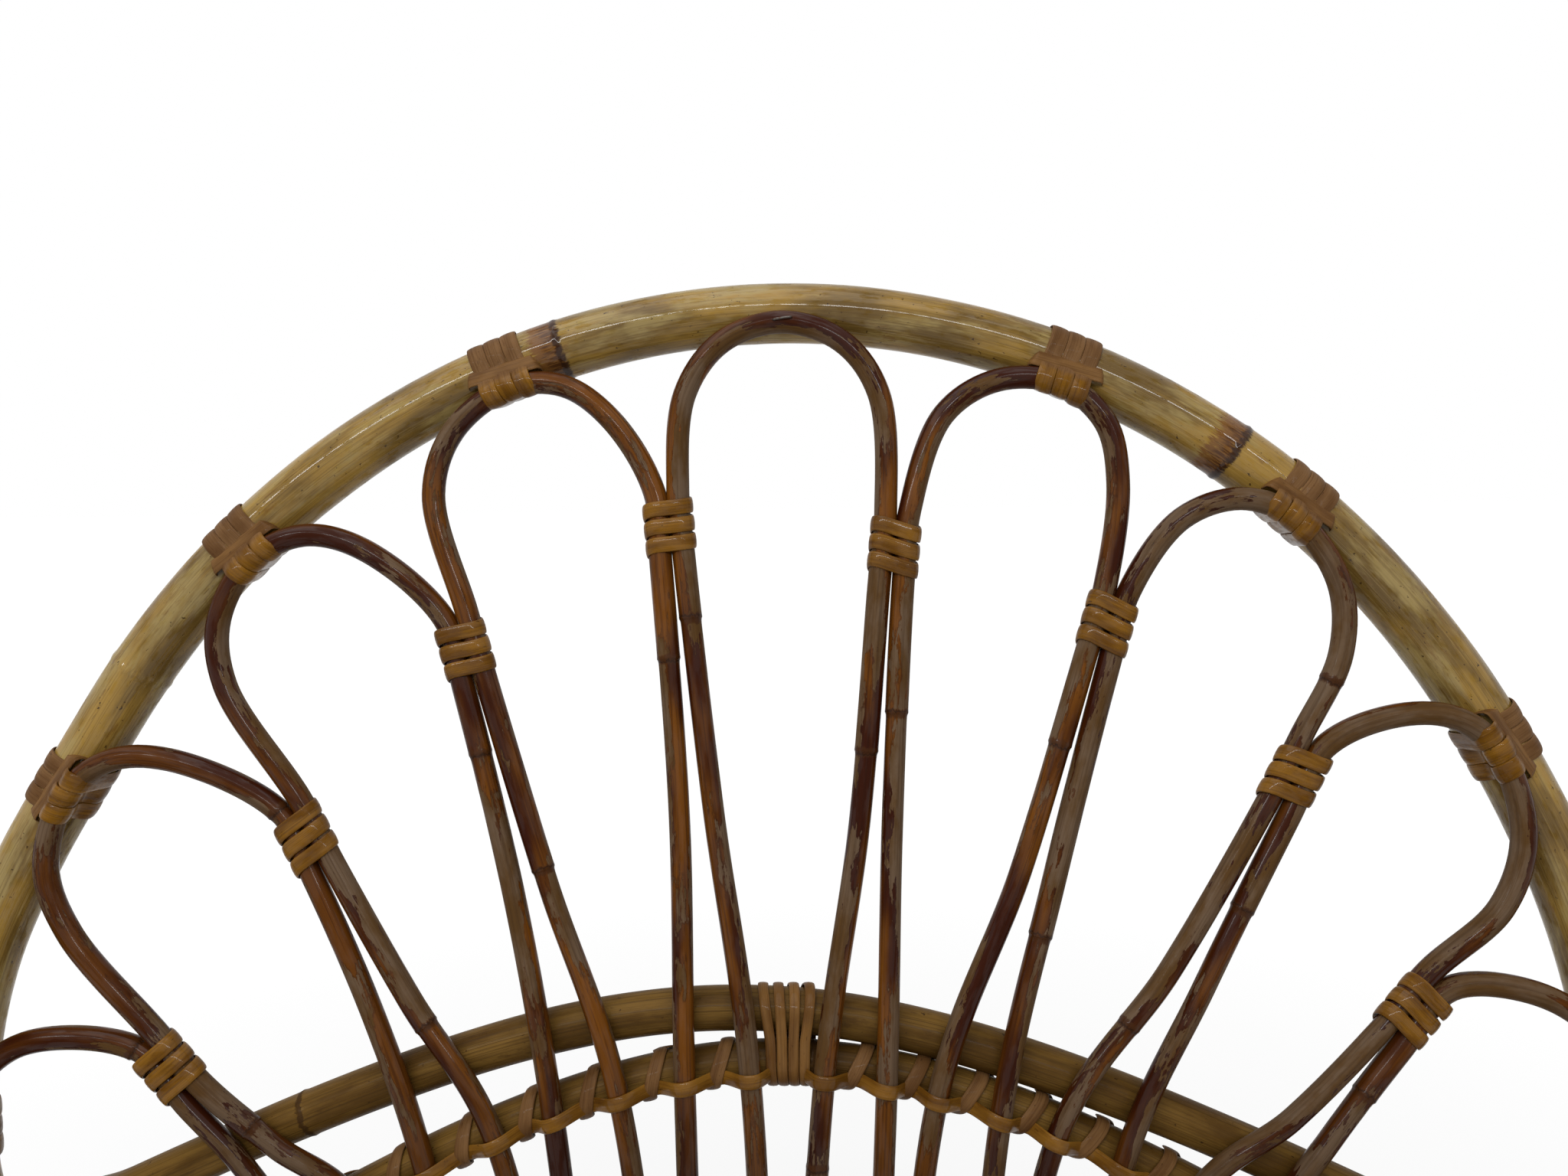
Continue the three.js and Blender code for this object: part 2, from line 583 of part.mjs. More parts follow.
for (const [side, name] of [[-1, 'apron_left'], [1, 'apron_right']]) {
  const middle = (frontLegs[side][0].y + rearLegs[side === 1 ? 1 : -1][0].y) / 2;
  const crown = new THREE.Vector3(side * SEAT_HALF, Math.max(middle, seatMiddle), apronCrown);
  sideAprons[side] = apron(name, frontLegs[side], rearLegs[side], crown);
}

// Leg ties: three turns of peel round each leg and the apron ends that stand against it
function legTie(name, leg, aprons) {
  const height = (APRON_LOW + APRON_SPRING) / 2;
  const axis = atHeight(leg, height + 15).sub(atHeight(leg, height - 15)).normalize();
  const ex = new THREE.Vector3(1, 0, 0).addScaledVector(axis, -axis.x).normalize();
  const ey = axis.clone().cross(ex);
  const centre = atHeight(leg, height);
  const circles = [{ x: 0, y: 0, r: POLE / 2 + GAP }];
  for (const path of aprons) {
    const off = atHeight(path, height).sub(centre);
    circles.push({ x: off.dot(ex), y: off.dot(ey), r: APRON / 2 + 5 * GAP });
  }
  wind(name, centre, ex, ey, circles, TIE_TURNS, 8);
}
const reversed = (path) => [...path].reverse();
legTie('leg_tie_front_left', frontLegs[-1], [frontApron, sideAprons[-1]]);
legTie('leg_tie_front_right', frontLegs[1], [reversed(frontApron), sideAprons[1]]);
legTie('leg_tie_rear_left', rearLegs[-1], [rearApron, reversed(sideAprons[-1])]);
legTie('leg_tie_rear_right', rearLegs[1], [reversed(rearApron), reversed(sideAprons[1])]);

export default part;
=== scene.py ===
import bisect
import random
from math import atan2, ceil, copysign, cos, exp, hypot, pi, radians, sin, sqrt, tau

import bmesh
import bpy
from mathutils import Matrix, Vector


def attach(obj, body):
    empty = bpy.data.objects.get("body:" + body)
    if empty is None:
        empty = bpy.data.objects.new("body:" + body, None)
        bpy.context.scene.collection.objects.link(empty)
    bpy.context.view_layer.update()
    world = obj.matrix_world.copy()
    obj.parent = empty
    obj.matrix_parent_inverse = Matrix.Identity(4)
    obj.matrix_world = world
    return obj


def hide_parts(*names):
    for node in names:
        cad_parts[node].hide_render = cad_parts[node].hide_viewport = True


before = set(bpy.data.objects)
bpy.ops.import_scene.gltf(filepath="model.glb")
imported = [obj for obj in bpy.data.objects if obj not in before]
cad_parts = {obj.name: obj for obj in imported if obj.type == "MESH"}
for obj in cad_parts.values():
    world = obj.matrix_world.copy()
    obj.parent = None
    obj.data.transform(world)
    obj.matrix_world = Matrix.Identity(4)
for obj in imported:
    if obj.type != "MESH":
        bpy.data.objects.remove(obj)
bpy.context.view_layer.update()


# Back hoop: one pole of pale rattan, steamed, bent to a round bow and let run down as the two rear legs.
# It keeps its natural skin under clear lacquer, with a rough brown ring wherever a leaf once grew.
RAIL_HEIGHT = 0.375
RECLINE = radians(17)
HOOP_RADIUS = 0.418
HOOP_PEAK = 0.003
LEFT_FLARE = 0.017
RIGHT_FLARE = 0.004
FLARE_TURN = radians(86)
FLARE_SPAN = radians(26)
HOOP_RISE = 0.205
WAIST_HALF = 0.345
REAR_FOOT_HALF = 0.350
REAR_FOOT_BACK = 0.070
REAR_CALF_IN = 0.005
REAR_CALF_HEIGHT = 0.47
SHOULDER_SHARE = 0.42
SHOULDER_MIX = 0.52
BOW_END = 96
BOW_STEP = 8
POLE = 0.032
POLE_SIDES = 28
STRAY = 0.012
POLE_STEP = 0.005
RAIL = 0.025
SEAT_DEPTH = 0.500
HOOP_TOP = HOOP_RISE + HOOP_RADIUS + HOOP_PEAK
BACK_Y = (SEAT_DEPTH + RAIL / 2 - HOOP_TOP * sin(RECLINE) - POLE / 2 * cos(RECLINE)) / 2
HOOP_RINGS = (-97, -14.4, 36.6, 88)
PALE_RING = -54.5
LEFT_LEG_RING = 0.21
RIGHT_LEG_RING = 0.25
PAST_FLOOR = 0.012
END_SHARE = 0.05
RING_STEPS = (-0.005, -0.003, -0.0018, -0.001, -0.0004, 0.0, 0.0004, 0.001, 0.0018, 0.003, 0.005)
RING_SPAN = 0.0016
RING_SWELL = 0.035
PALE_SPAN = 0.0022
PALE_SWELL = 0.03
SWAYS = ((21, 1.0), (47, 0.6), (83, 0.4))
SHARP_ANGLE = radians(48)
LACQUER = {"IOR": 1.45, "Specular_IOR_Level": 0.05}


def back(u, v, w=0.0):
    """A point of the back: u across, v up the reclined plane, w out of it towards the sitter."""
    y = BACK_Y + v * sin(RECLINE) - w * cos(RECLINE)
    z = RAIL_HEIGHT + v * cos(RECLINE) + w * sin(RECLINE)
    return Vector((u, y, z))


def bend(knots, step):
    """Points a step apart on the smooth curve that a cane takes through a few knots."""
    row = [knots[0] * 2 - knots[1], *knots, knots[-1] * 2 - knots[-2]]
    points = [knots[0].copy()]
    for a, b, c, d in zip(row, row[1:], row[2:], row[3:]):
        ab, bc, cd = (sqrt((q - p).length) for p, q in ((a, b), (b, c), (c, d)))
        leave = ((b - a) / ab - (c - a) / (ab + bc) + (c - b) / bc) * bc
        reach = ((c - b) / bc - (d - b) / (bc + cd) + (d - c) / cd) * bc
        square = b * -3 + c * 3 - leave * 2 - reach
        cube = b * 2 - c * 2 + leave + reach
        count = max(1, ceil((c - b).length / step))
        for t in (i / count for i in range(1, count + 1)):
            points.append(b + leave * t + square * t ** 2 + cube * t ** 3)
    return points


def measure(points):
    """How far along a row of points each of them lies."""
    lengths = [0.0]
    for a, b in zip(points, points[1:]):
        lengths.append(lengths[-1] + (b - a).length)
    return lengths


def at_length(points, lengths, place):
    """The point at a given length along a row of points."""
    i = min(max(bisect.bisect_right(lengths, place), 1), len(points) - 1)
    share = (place - lengths[i - 1]) / max(lengths[i] - lengths[i - 1], 1e-9)
    return points[i - 1].lerp(points[i], share)


class Flow:
    """One output of a node: arithmetic on it adds Math nodes, and node() adds any other node."""

    def __init__(self, tree, made=None, output=0):
        self.tree = tree
        self.made = made
        self.output = output

    def __getitem__(self, output):
        return Flow(self.tree, self.made, output)

    def node(self, kind, inputs=None, **settings):
        made = self.tree.nodes.new(kind)
        for key, value in settings.items():
            setattr(made, key, value)
        for key, value in (inputs or {}).items():
            if isinstance(value, Flow):
                value.join(made.inputs[key])
            else:
                made.inputs[key].default_value = value
        return Flow(self.tree, made)

    def join(self, socket):
        self.tree.links.new(self.made.outputs[self.output], socket)

    def maths(self, operation, *values):
        return self.node("ShaderNodeMath", dict(enumerate(values)), operation=operation)

    def __add__(self, other):
        return self.maths("ADD", self, other)

    def __sub__(self, other):
        return self.maths("SUBTRACT", self, other)

    def __rsub__(self, other):
        return self.maths("SUBTRACT", other, self)

    def __mul__(self, other):
        return self.maths("MULTIPLY", self, other)

    def __truediv__(self, other):
        return self.maths("DIVIDE", self, other)

    __radd__ = __add__
    __rmul__ = __mul__

    def size(self):
        return self.maths("ABSOLUTE", self)

    def between(self, low, high):
        """0 below low, 1 above high, smooth in between; low may be the larger."""
        ends = {0: self, 1: low, 2: high, 3: 0.0, 4: 1.0}
        return self.node("ShaderNodeMapRange", ends, interpolation_type="SMOOTHSTEP")

    def blend(self, one, other):
        """From colour one to the other colour as this value goes from 0 to 1."""
        return self.node("ShaderNodeMix", {0: self, 6: one, 7: other}, data_type="RGBA")[2]

    def over(self, tint, share, *shade):
        """A shade laid over a tint, as strong as a share of this value."""
        return (self * share).blend(tint, colour(*shade))

    def noise(self, across, along, detail, roughness):
        """Noise on the grain, with its scale across and along the cane."""
        scale = (across, across, along)
        place = self.node("ShaderNodeVectorMath", {0: self, 1: scale}, operation="MULTIPLY")
        values = {"Vector": place, "Scale": 1.0, "Detail": detail, "Roughness": roughness}
        return self.node("ShaderNodeTexNoise", values)

    def bump(self, strength, depth):
        return self.node("ShaderNodeBump", {"Strength": strength, "Distance": depth, "Height": self})

    def attribute(self, name, output):
        return self.node("ShaderNodeAttribute", attribute_name=name)[output]

    def field(self, name, kind="FLOAT"):
        return self.node("GeometryNodeInputNamedAttribute", {"Name": name}, data_type=kind)

    def keep(self, name, kind, value):
        """This geometry, with a value stored on its points."""
        values = {"Geometry": self, "Name": name, "Value": value}
        return self.node("GeometryNodeStoreNamedAttribute", values, data_type=kind, domain="POINT")


def colour(red, green, blue):
    """A screen colour, 0 to 255, as the light that it stands for."""
    def light(value):
        part = value / 255
        return part / 12.92 if part <= 0.04045 else ((part + 0.055) / 1.055) ** 2.4
    return (light(red), light(green), light(blue), 1.0)


def new_finish(name, **plain):
    """A new material, with the values that are the same all over it."""
    finish = bpy.data.materials.new(name)
    finish.use_nodes = True
    shader = finish.node_tree.nodes["Principled BSDF"]
    for key, value in plain.items():
        shader.inputs[key.replace("_", " ")].default_value = value
    return finish, Flow(finish.node_tree), shader


def wear(shader, **flows):
    """Joins what changes over the surface to the shader."""
    for key, flow in flows.items():
        flow.join(shader.inputs[key.replace("_", " ")])


def new_tree(name, sizes):
    """A Geometry Nodes tree with inputs for its sizes and its finish."""
    tree = bpy.data.node_groups.new(name, "GeometryNodeTree")
    tree.interface.new_socket("Geometry", in_out="INPUT", socket_type="NodeSocketGeometry")
    for size, kind in sizes.items():
        tree.interface.new_socket(size, in_out="INPUT", socket_type=kind)
    tree.interface.new_socket("Finish", in_out="INPUT", socket_type="NodeSocketMaterial")
    tree.interface.new_socket("Geometry", in_out="OUTPUT", socket_type="NodeSocketGeometry")
    return tree, Flow(tree, tree.nodes.new("NodeGroupInput"))


def close_tree(entry, line, ring, thick, *grain):
    """Sweeps a ring along a line, keeps its grain, sets its finish and hands it out."""
    parts = {"Curve": line, "Profile Curve": ring, "Scale": thick, "Fill Caps": True}
    tube = entry.node("GeometryNodeCurveToMesh", parts)
    tube = tube.keep("grain", "FLOAT_VECTOR", entry.node("ShaderNodeCombineXYZ", dict(enumerate(grain))))
    smooth = entry.node("GeometryNodeSetShadeSmooth", {"Geometry": tube, "Shade Smooth": True})
    real = entry.node("GeometryNodeRealizeInstances", {"Geometry": smooth})
    painted = entry.node("GeometryNodeSetMaterial", {"Geometry": real, "Material": entry["Finish"]})
    entry.node("NodeGroupOutput", {"Geometry": painted})


def cane_tree():
    """A round cane along a line: thick is its radius, run its length so far, grain the cane made straight."""
    tree, entry = new_tree("bent cane", {"Sides": "NodeSocketInt"})
    line = entry.node("GeometryNodeMeshToCurve", {"Mesh": entry["Geometry"]})
    ring = entry.node("GeometryNodeCurvePrimitiveCircle", {"Resolution": entry["Sides"], "Radius": 1.0})
    ring = ring.keep("turn", "FLOAT", entry.node("GeometryNodeSplineParameter"))
    thick = entry.field("thick")
    angle = entry.field("turn") * tau
    x = entry.maths("COSINE", angle) * thick
    y = entry.maths("SINE", angle) * thick
    close_tree(entry, line, ring, thick, x, y, entry.field("run"))
    return tree


def add(name, data):
    """A new object of the scene."""
    made = bpy.data.objects.new(name, data)
    bpy.context.scene.collection.objects.link(made)
    return made


def grow(name, points, fields, tree, **sizes):
    """Runs a tree on a row of joined points that carry some fields, and leaves a plain mesh object."""
    mesh = bpy.data.meshes.new(name)
    mesh.from_pydata(points, [(i, i + 1) for i in range(len(points) - 1)], [])
    for key, values in fields.items():
        if isinstance(values[0], float):
            mesh.attributes.new(key, "FLOAT", "POINT").data.foreach_set("value", values)
        else:
            flat = [part for value in values for part in value]
            mesh.attributes.new(key, "FLOAT_VECTOR", "POINT").data.foreach_set("vector", flat)
    piece = add(name, mesh)
    modifier = piece.modifiers.new("shape", "NODES")
    modifier.node_group = tree
    for item in tree.interface.items_tree:
        if item.in_out == "INPUT" and item.name in sizes:
            modifier[item.identifier] = sizes[item.name]
    graph = bpy.context.evaluated_depsgraph_get()
    result = bpy.data.meshes.new_from_object(piece.evaluated_get(graph))
    piece.modifiers.clear()
    piece.data = result
    bpy.data.meshes.remove(mesh)
    result.set_sharp_from_angle(angle=SHARP_ANGLE)
    return piece


def fit(piece, slot, *nodes):
    """Ties a finished piece to the frame."""
    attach(piece, "root")
    if nodes:
        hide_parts(*nodes)


def rattan(name, points, diameter, finish, sides, joints=(), stray=0.0, run=0.0, pale=()):
    """A cane along a row of points; joints are leaf rings: (length, radius after it as a share).
    A pale ring is only a swelling. Stray is how much the thickness sways."""
    lengths = measure(points)
    total = lengths[-1]
    edge = diameter * END_SHARE
    places = set(lengths) | {edge, total - edge}
    for place in (*(place for place, _ in joints), *pale):
        places |= {place + step for step in RING_STEPS if edge < place + step < total - edge}
    marks = [(-1.0, 1.0), *sorted(joints), (total + 1.0, 1.0)]
    for (one, _), (other, _) in zip(marks, marks[1:]):
        middle = (one + other) / 2
        places |= {middle + step for step in (-0.00001, 0.00001) if edge < middle + step < total - edge}
    places = sorted(places)
    draw = random.Random(name)
    phase = [draw.uniform(0, tau) for _ in SWAYS]
    thick = []
    joint = []
    for s in places:
        share = 1.0
        ridge = 0.0
        for place, after in marks[1:-1]:
            t = min(max((s - place) / RING_SPAN + 0.5, 0.0), 1.0)
            share += (after - share) * t * t * (3 - 2 * t)
            ridge += RING_SWELL * exp(-(((s - place) / RING_SPAN) ** 2))
        for place in pale:
            ridge += PALE_SWELL * exp(-(((s - place) / PALE_SPAN) ** 2))
        sway = sum(sin(s * rate + turn) * size for (rate, size), turn in zip(SWAYS, phase))
        radius = diameter / 2 * (share + ridge + stray * sway / 2)
        if s < edge / 2 or s > total - edge / 2:
            radius -= edge
        thick.append(radius)
        joint.append(min((s - place for place, _ in marks), key=abs))
    row = [at_length(points, lengths, s) for s in places]
    fields = {"thick": thick, "joint": joint, "run": [s + run for s in places]}
    return grow(name, row, fields, CANE_TREE, Sides=sides, Finish=finish)


def stand_level(piece):
    """Cuts what reaches under the floor off a piece and closes the cut."""
    shape = bmesh.new()
    shape.from_mesh(piece.data)
    everything = shape.verts[:] + shape.edges[:] + shape.faces[:]
    floor = {"plane_co": (0, 0, 0), "plane_no": (0, 0, 1)}
    cut = bmesh.ops.bisect_plane(shape, geom=everything, clear_inner=True, **floor)
    rim = [part for part in cut["geom_cut"] if isinstance(part, bmesh.types.BMEdge)]
    closed = bmesh.ops.holes_fill(shape, edges=rim, sides=0)
    for face in closed["faces"]:
        face.smooth = False
    shape.to_mesh(piece.data)
    shape.free()


def past_floor(points):
    """The same points, with each end that stands on the floor led a little below it."""
    row = list(points)
    for end, inner in ((0, 1), (-1, -2)):
        if row[end].z < 1e-6:
            row[end] = row[end] + (row[end] - row[inner]).normalized() * PAST_FLOOR
    return row


def hoop_place(turn):
    """A point of the hoop's middle line on the plane of the back: round but for a peak and two flares."""
    flare = LEFT_FLARE if turn < 0 else RIGHT_FLARE
    off = min(abs(abs(turn) - FLARE_TURN) / FLARE_SPAN, 1.0)
    reach = HOOP_RADIUS + HOOP_PEAK * cos(3 * turn) + flare * cos(off * pi / 2) ** 2
    return Vector((reach * sin(turn), HOOP_RISE + reach * cos(turn)))


def hoop_spot(turn):
    """The same point as a point of the chair."""
    place = hoop_place(turn)
    return back(place.x, place.y)


def hoop_out(turn):
    """The way out of the hoop, square to its line."""
    near = 0.04
    along = (hoop_place(turn + near) - hoop_place(turn - near)).normalized()
    return Vector((-along.y, along.x))


def hoop_half(side):
    """Knots of the hoop and the rear leg on one side, from the floor up."""
    foot = Vector((side * REAR_FOOT_HALF, BACK_Y + REAR_FOOT_BACK, 0))
    calf_half = WAIST_HALF - REAR_CALF_IN
    calf = Vector((side * calf_half, BACK_Y + REAR_FOOT_BACK / 2, RAIL_HEIGHT * REAR_CALF_HEIGHT))
    bow = [hoop_spot(radians(side * turn)) for turn in range(BOW_END, 0, -BOW_STEP)]
    half = WAIST_HALF * SHOULDER_MIX + abs(bow[0].x) * (1 - SHOULDER_MIX)
    shoulder = back(side * half, HOOP_RISE * SHOULDER_SHARE)
    return [foot, calf, back(side * WAIST_HALF, 0), shoulder, *bow]


def pole_finish():
    """Pale skin under clear lacquer: gold and olive, pale blotches that are partly a painted soft sheen, fine
    fibres, dashes, specks and brown leaf rings.
    """
    finish, start, shader = new_finish("lacquered pole", Coat_Roughness=0.06, **LACQUER)
    grain = start.attribute("grain", "Vector")
    joint = start.attribute("joint", "Fac")
    cloud = grain.noise(42, 11, 4, 0.6)
    fibre = grain.noise(1100, 8, 3, 0.65)
    thread = grain.noise(2600, 24, 1, 0.5)
    tint = cloud.between(0.38, 0.62).blend(colour(104, 80, 36), colour(160, 126, 58))
    # Pale blotches: partly pale skin, partly a painted soft sheen of the lacquer.
    pale_skin_and_sheen = grain.noise(75, 17, 4, 0.65).between(0.46, 0.64)
    tint = pale_skin_and_sheen.over(tint, 0.75, 162, 141, 88)
    tint = fibre.between(0.44, 0.7).over(tint, 0.5, 84, 60, 24)
    tint = thread.between(0.55, 0.75).over(tint, 0.25, 178, 152, 96)
    stain = grain.noise(130, 34, 5, 0.7).between(0.58, 0.7)
    tint = stain.over(tint, 0.55, 104, 68, 26)
    dash = grain.noise(760, 85, 4, 0.7).between(0.65, 0.72)
    tint = dash.over(tint, 0.7, 70, 44, 18)
    speck = grain.noise(430, 270, 2, 0.6).between(0.68, 0.73)
    tint = speck.over(tint, 0.85, 46, 27, 11)
    ragged = joint + (grain.noise(420, 60, 4, 0.7) - 0.5) * 0.007
    teeth = joint + (grain.noise(700, 40, 4, 0.7) - 0.5) * 0.022
    smear = teeth.between(-0.016, -0.013) * ragged.between(0.002, 0.0)
    smudge = smear * grain.noise(420, 130, 4, 0.7).between(0.2, 0.45)
    tint = smudge.over(tint, 0.85, 112, 70, 32)
    scratch = teeth.between(-0.011, -0.006) * ragged.between(0.002, 0.0)
    scratch = scratch * grain.noise(900, 60, 3, 0.6).between(0.42, 0.56)
    tint = scratch.over(tint, 0.8, 66, 36, 18)
    ring = ragged.size().between(0.0029, 0.0013) * grain.noise(380, 150, 3, 0.6).between(0.3, 0.48)
    tint = ring.over(tint, 0.9, 48, 27, 15)
    gloss = ring * 0.25 + fibre * 0.2 + smear * 0.1 + 0.25
    lift = fibre * 0.35 + thread * 0.1 + grain.noise(160, 60, 2, 0.5) * 0.5 - ring * 0.6
    lift = lift + smear * grain.noise(700, 300, 3, 0.6) * 0.8
    polish = grain.noise(260, 90, 4, 0.65).between(0.36, 0.5) * 0.42 + 0.03
    wear(shader, Base_Color=tint, Roughness=gloss, Normal=lift.bump(0.35, 0.0006), Coat_Weight=polish)
    return finish


CANE_TREE = cane_tree()
POLE_FINISH = pole_finish()
hoop_line = bend([*hoop_half(-1), hoop_spot(0), *reversed(hoop_half(1))], POLE_STEP)
hoop_lengths = measure(hoop_line)


def hoop_length(degrees):
    """How far along the hoop's pole a place on its bow lies."""
    spot = hoop_spot(radians(degrees))
    return min(zip(hoop_line, hoop_lengths), key=lambda pair: (pair[0] - spot).length)[1]


hoop_joints = [(hoop_length(turn), 1.0) for turn in HOOP_RINGS]
hoop_joints += [(LEFT_LEG_RING, 1.0), (hoop_lengths[-1] - RIGHT_LEG_RING, 1.0)]
hoop = rattan("hoop_pole", past_floor(hoop_line), POLE, POLE_FINISH, POLE_SIDES, hoop_joints, STRAY,
              pale=[hoop_length(PALE_RING)])
stand_level(hoop)
fit(hoop, "pole", "back_hoop")


# Lumbar arch and brace arch: two bows of thinner pole behind the fan, bent back at both ends to lie behind
# the hoop, where pins hold them. Their skin is scraped, so they are duller and show their fibres.
LUMBAR = 0.021
LUMBAR_RISE = 0.0265
LUMBAR_SLOPE = 0.7
BRACE = 0.023
BRACE_SLOPE = 0.54
BRACE_SHIFT = -0.023
ARCH_ROUND = 0.200
ARCH_PAST_HOOP = 0.012
ARCH_SPACE = 0.004
ARCH_BEND = 0.075
ARCH_STEPS = 180
ARCH_SEARCH = 0.0005
ARCH_SIDES = 24
ARCH_STRAY = 0.015
LUMBAR_RINGS = ((0.12, 1.0), (0.47, 0.985), (0.78, 1.0))
BRACE_RINGS = ((0.2, 1.0), (0.545, 0.99), (0.83, 1.0))
GAP = 0.0003
CANE = 0.011
TIP_INSET = 0.015
PETAL_FRONT = sqrt((POLE / 2 + CANE / 2 + GAP) ** 2 - TIP_INSET ** 2)
LUMBAR_FRONT = PETAL_FRONT - CANE / 2 - LUMBAR / 2 - GAP
BRACE_FRONT = PETAL_FRONT - CANE / 2 - BRACE / 2 - GAP
LUMBAR_TOP = HOOP_RISE + LUMBAR_RISE
BRACE_TOP = LUMBAR_TOP + LUMBAR / 2 + BRACE / 2 + ARCH_SPACE


def lumbar_at(u):
    """Height of the lumbar arch on the plane of the back."""
    return LUMBAR_TOP - LUMBAR_SLOPE * (hypot(u, ARCH_ROUND) - ARCH_ROUND)


def brace_at(u):
    """Height of the brace arch on the plane of the back."""
    return BRACE_TOP - BRACE_SLOPE * (hypot(u - BRACE_SHIFT, ARCH_ROUND) - ARCH_ROUND)


def arch_reach(height, side):
    """How far out an arch meets the hoop on one side."""
    reach = HOOP_RADIUS * 0.5
    while hypot(reach, height(side * reach) - HOOP_RISE) < HOOP_RADIUS:
        reach += ARCH_SEARCH
    return reach


def arch_line(height, front, diameter):
    """An arch from behind one side of the hoop to behind the other."""
    left, right = (arch_reach(height, side) for side in (-1, 1))
    behind = -(POLE / 2 + diameter / 2 + GAP)
    points = []
    for i in range(ARCH_STEPS + 1):
        u = (left + right + 2 * ARCH_PAST_HOOP) * i / ARCH_STEPS - left - ARCH_PAST_HOOP
        reach = left if u < 0 else right
        bent = reach - ARCH_BEND
        straight = reach - POLE / 2 - diameter / 2
        t = min(max((abs(u) - bent) / (straight - bent), 0.0), 1.0)
        points.append(back(u, height(u), front + (behind - front) * t * t * (3 - 2 * t)))
    return points


def arch_finish():
    """Scraped rattan: olive straw with long fibres, satin lacquer and few specks."""
    finish, start, shader = new_finish("scraped pole", Coat_Roughness=0.2, **LACQUER)
    grain = start.attribute("grain", "Vector")
    joint = start.attribute("joint", "Fac")
    cloud = grain.noise(70, 14, 4, 0.6)
    fibre = grain.noise(1300, 9, 3, 0.65)
    tint = cloud.between(0.36, 0.64).blend(colour(82, 57, 22), colour(118, 88, 40))
    tint = fibre.between(0.42, 0.7).over(tint, 0.55, 56, 38, 14)
    stain = grain.noise(150, 40, 5, 0.7).between(0.58, 0.68)
    tint = stain.over(tint, 0.5, 66, 44, 20)
    speck = grain.noise(380, 240, 2, 0.6).between(0.69, 0.74)
    tint = speck.over(tint, 0.8, 44, 27, 11)
    ragged = joint + (grain.noise(220, 220, 4, 0.7) - 0.5) * 0.006
    ring = ragged.size().between(0.002, 0.001)
    tint = ring.over(tint, 0.8, 56, 36, 17)
    gloss = fibre * 0.3 + ring * 0.2 + 0.32
    rough = (fibre - ring * 0.5).bump(0.5, 0.0006)
    wear(shader, Base_Color=tint, Roughness=gloss, Normal=rough, Coat_Weight=fibre * 0.08 + 0.01)
    return finish


ARCH_FINISH = arch_finish()
line = arch_line(lumbar_at, LUMBAR_FRONT, LUMBAR)
lumbar = rattan("lumbar_bow", line, LUMBAR, ARCH_FINISH, ARCH_SIDES, LUMBAR_RINGS, ARCH_STRAY, run=2.0)
fit(lumbar, "arch", "lumbar_arch")
line = arch_line(brace_at, BRACE_FRONT, BRACE)
brace = rattan("brace_bow", line, BRACE, ARCH_FINISH, ARCH_SIDES, BRACE_RINGS, ARCH_STRAY, run=5.0)
fit(brace, "arch", "brace_arch")


# Petals: loops of thin cane, each bent round a small former, tied to its neighbours and to the hoop, with its
# two legs nailed to the rear rail. A red-brown stain covers them, flaked off in long grey patches.
TIP_TURNS = (-92, -66, -44.1, -20.8, 0.3, 21.6, 40.9, 62.8, 87)
TIP_INSETS = (0.010, 0.010, TIP_INSET, TIP_INSET, 0.0105, TIP_INSET, 0.013, 0.010, 0.010)
LEFT_SHOULDERS = (0.055, 0.062, 0.059, 0.0605, 0.0535, 0.0535, 0.043, 0.0415, 0.051)
RIGHT_SHOULDERS = (0.051, 0.0445, 0.047, 0.047, 0.0535, 0.0485, 0.067, 0.071, 0.055)
PAIR_TURNS = (-85.3, -60, -34.5, -10.7, 11.7, 34, 56.5, 79.7)
PAIR_RADII = (0.315, 0.284, 0.290, 0.308, 0.297, 0.302, 0.313, 0.320)
PETAL_SIDE = 4
TIP_RADIUS = 0.055
TIP_KNOTS = ((-72, 0.7), (-36, 1), (0, 1), (36, 1), (72, 0.7))
PETAL_STEP = 0.004
PETAL_SIDES = 20
PETAL_SEED = 40
LOOP_SHARE = 1.1
LEG_SHARES = (0.97, 1.06)
PAIR_SPACE = 0.0014
FOCUS_DROP = 0.300
LEFT_LEGS = (0.016, 0.049, 0.083, 0.116, 0.146, 0.181, 0.217, 0.249, 0.290)
RIGHT_LEGS = (0.022, 0.053, 0.079, 0.110, 0.138, 0.170, 0.204, 0.238, 0.287)
RIGHT_LEG_BOW = 0.0035
LEFT_LEG_BOW = 0.0015
FOOT_PITCH = 0.046
FOOT_DROP = 0.014
PEEL_WIDTH = 0.008
PEEL_SPACE = 0.0014
PEEL_THICK = 0.0012
TIE_TURNS = 3
PEEL_PITCH = PEEL_WIDTH + PEEL_SPACE
TIE_HALF = TIE_TURNS / 2 * PEEL_PITCH + PEEL_WIDTH / 2
TIE_AIR = 0.001
LEG_RINGS = {
    -4: ((0.06,), (0.24,)), -3: ((0.2,), (0.36, 0.15)), -2: ((0.253,), (0.392,)),
    -1: ((0.33, 0.12), (0.44, 0.1)), 0: ((0.458,), (0.183, 0.39)), 1: ((0.412,), (0.392, 0.06)),
    2: ((0.299,), (0.427, 0.254)), 3: ((0.31,), (0.27, 0.1)), 4: ((0.22,), (0.05,)),
}


def petal_name(k):
    """Short name of petal k, counted from the middle."""
    return "c" if k == 0 else f"{'l' if k < 0 else 'r'}{abs(k)}"


def tip_turn(k):
    """Where round the hoop the tip of petal k lies."""
    return radians(TIP_TURNS[k + PETAL_SIDE])


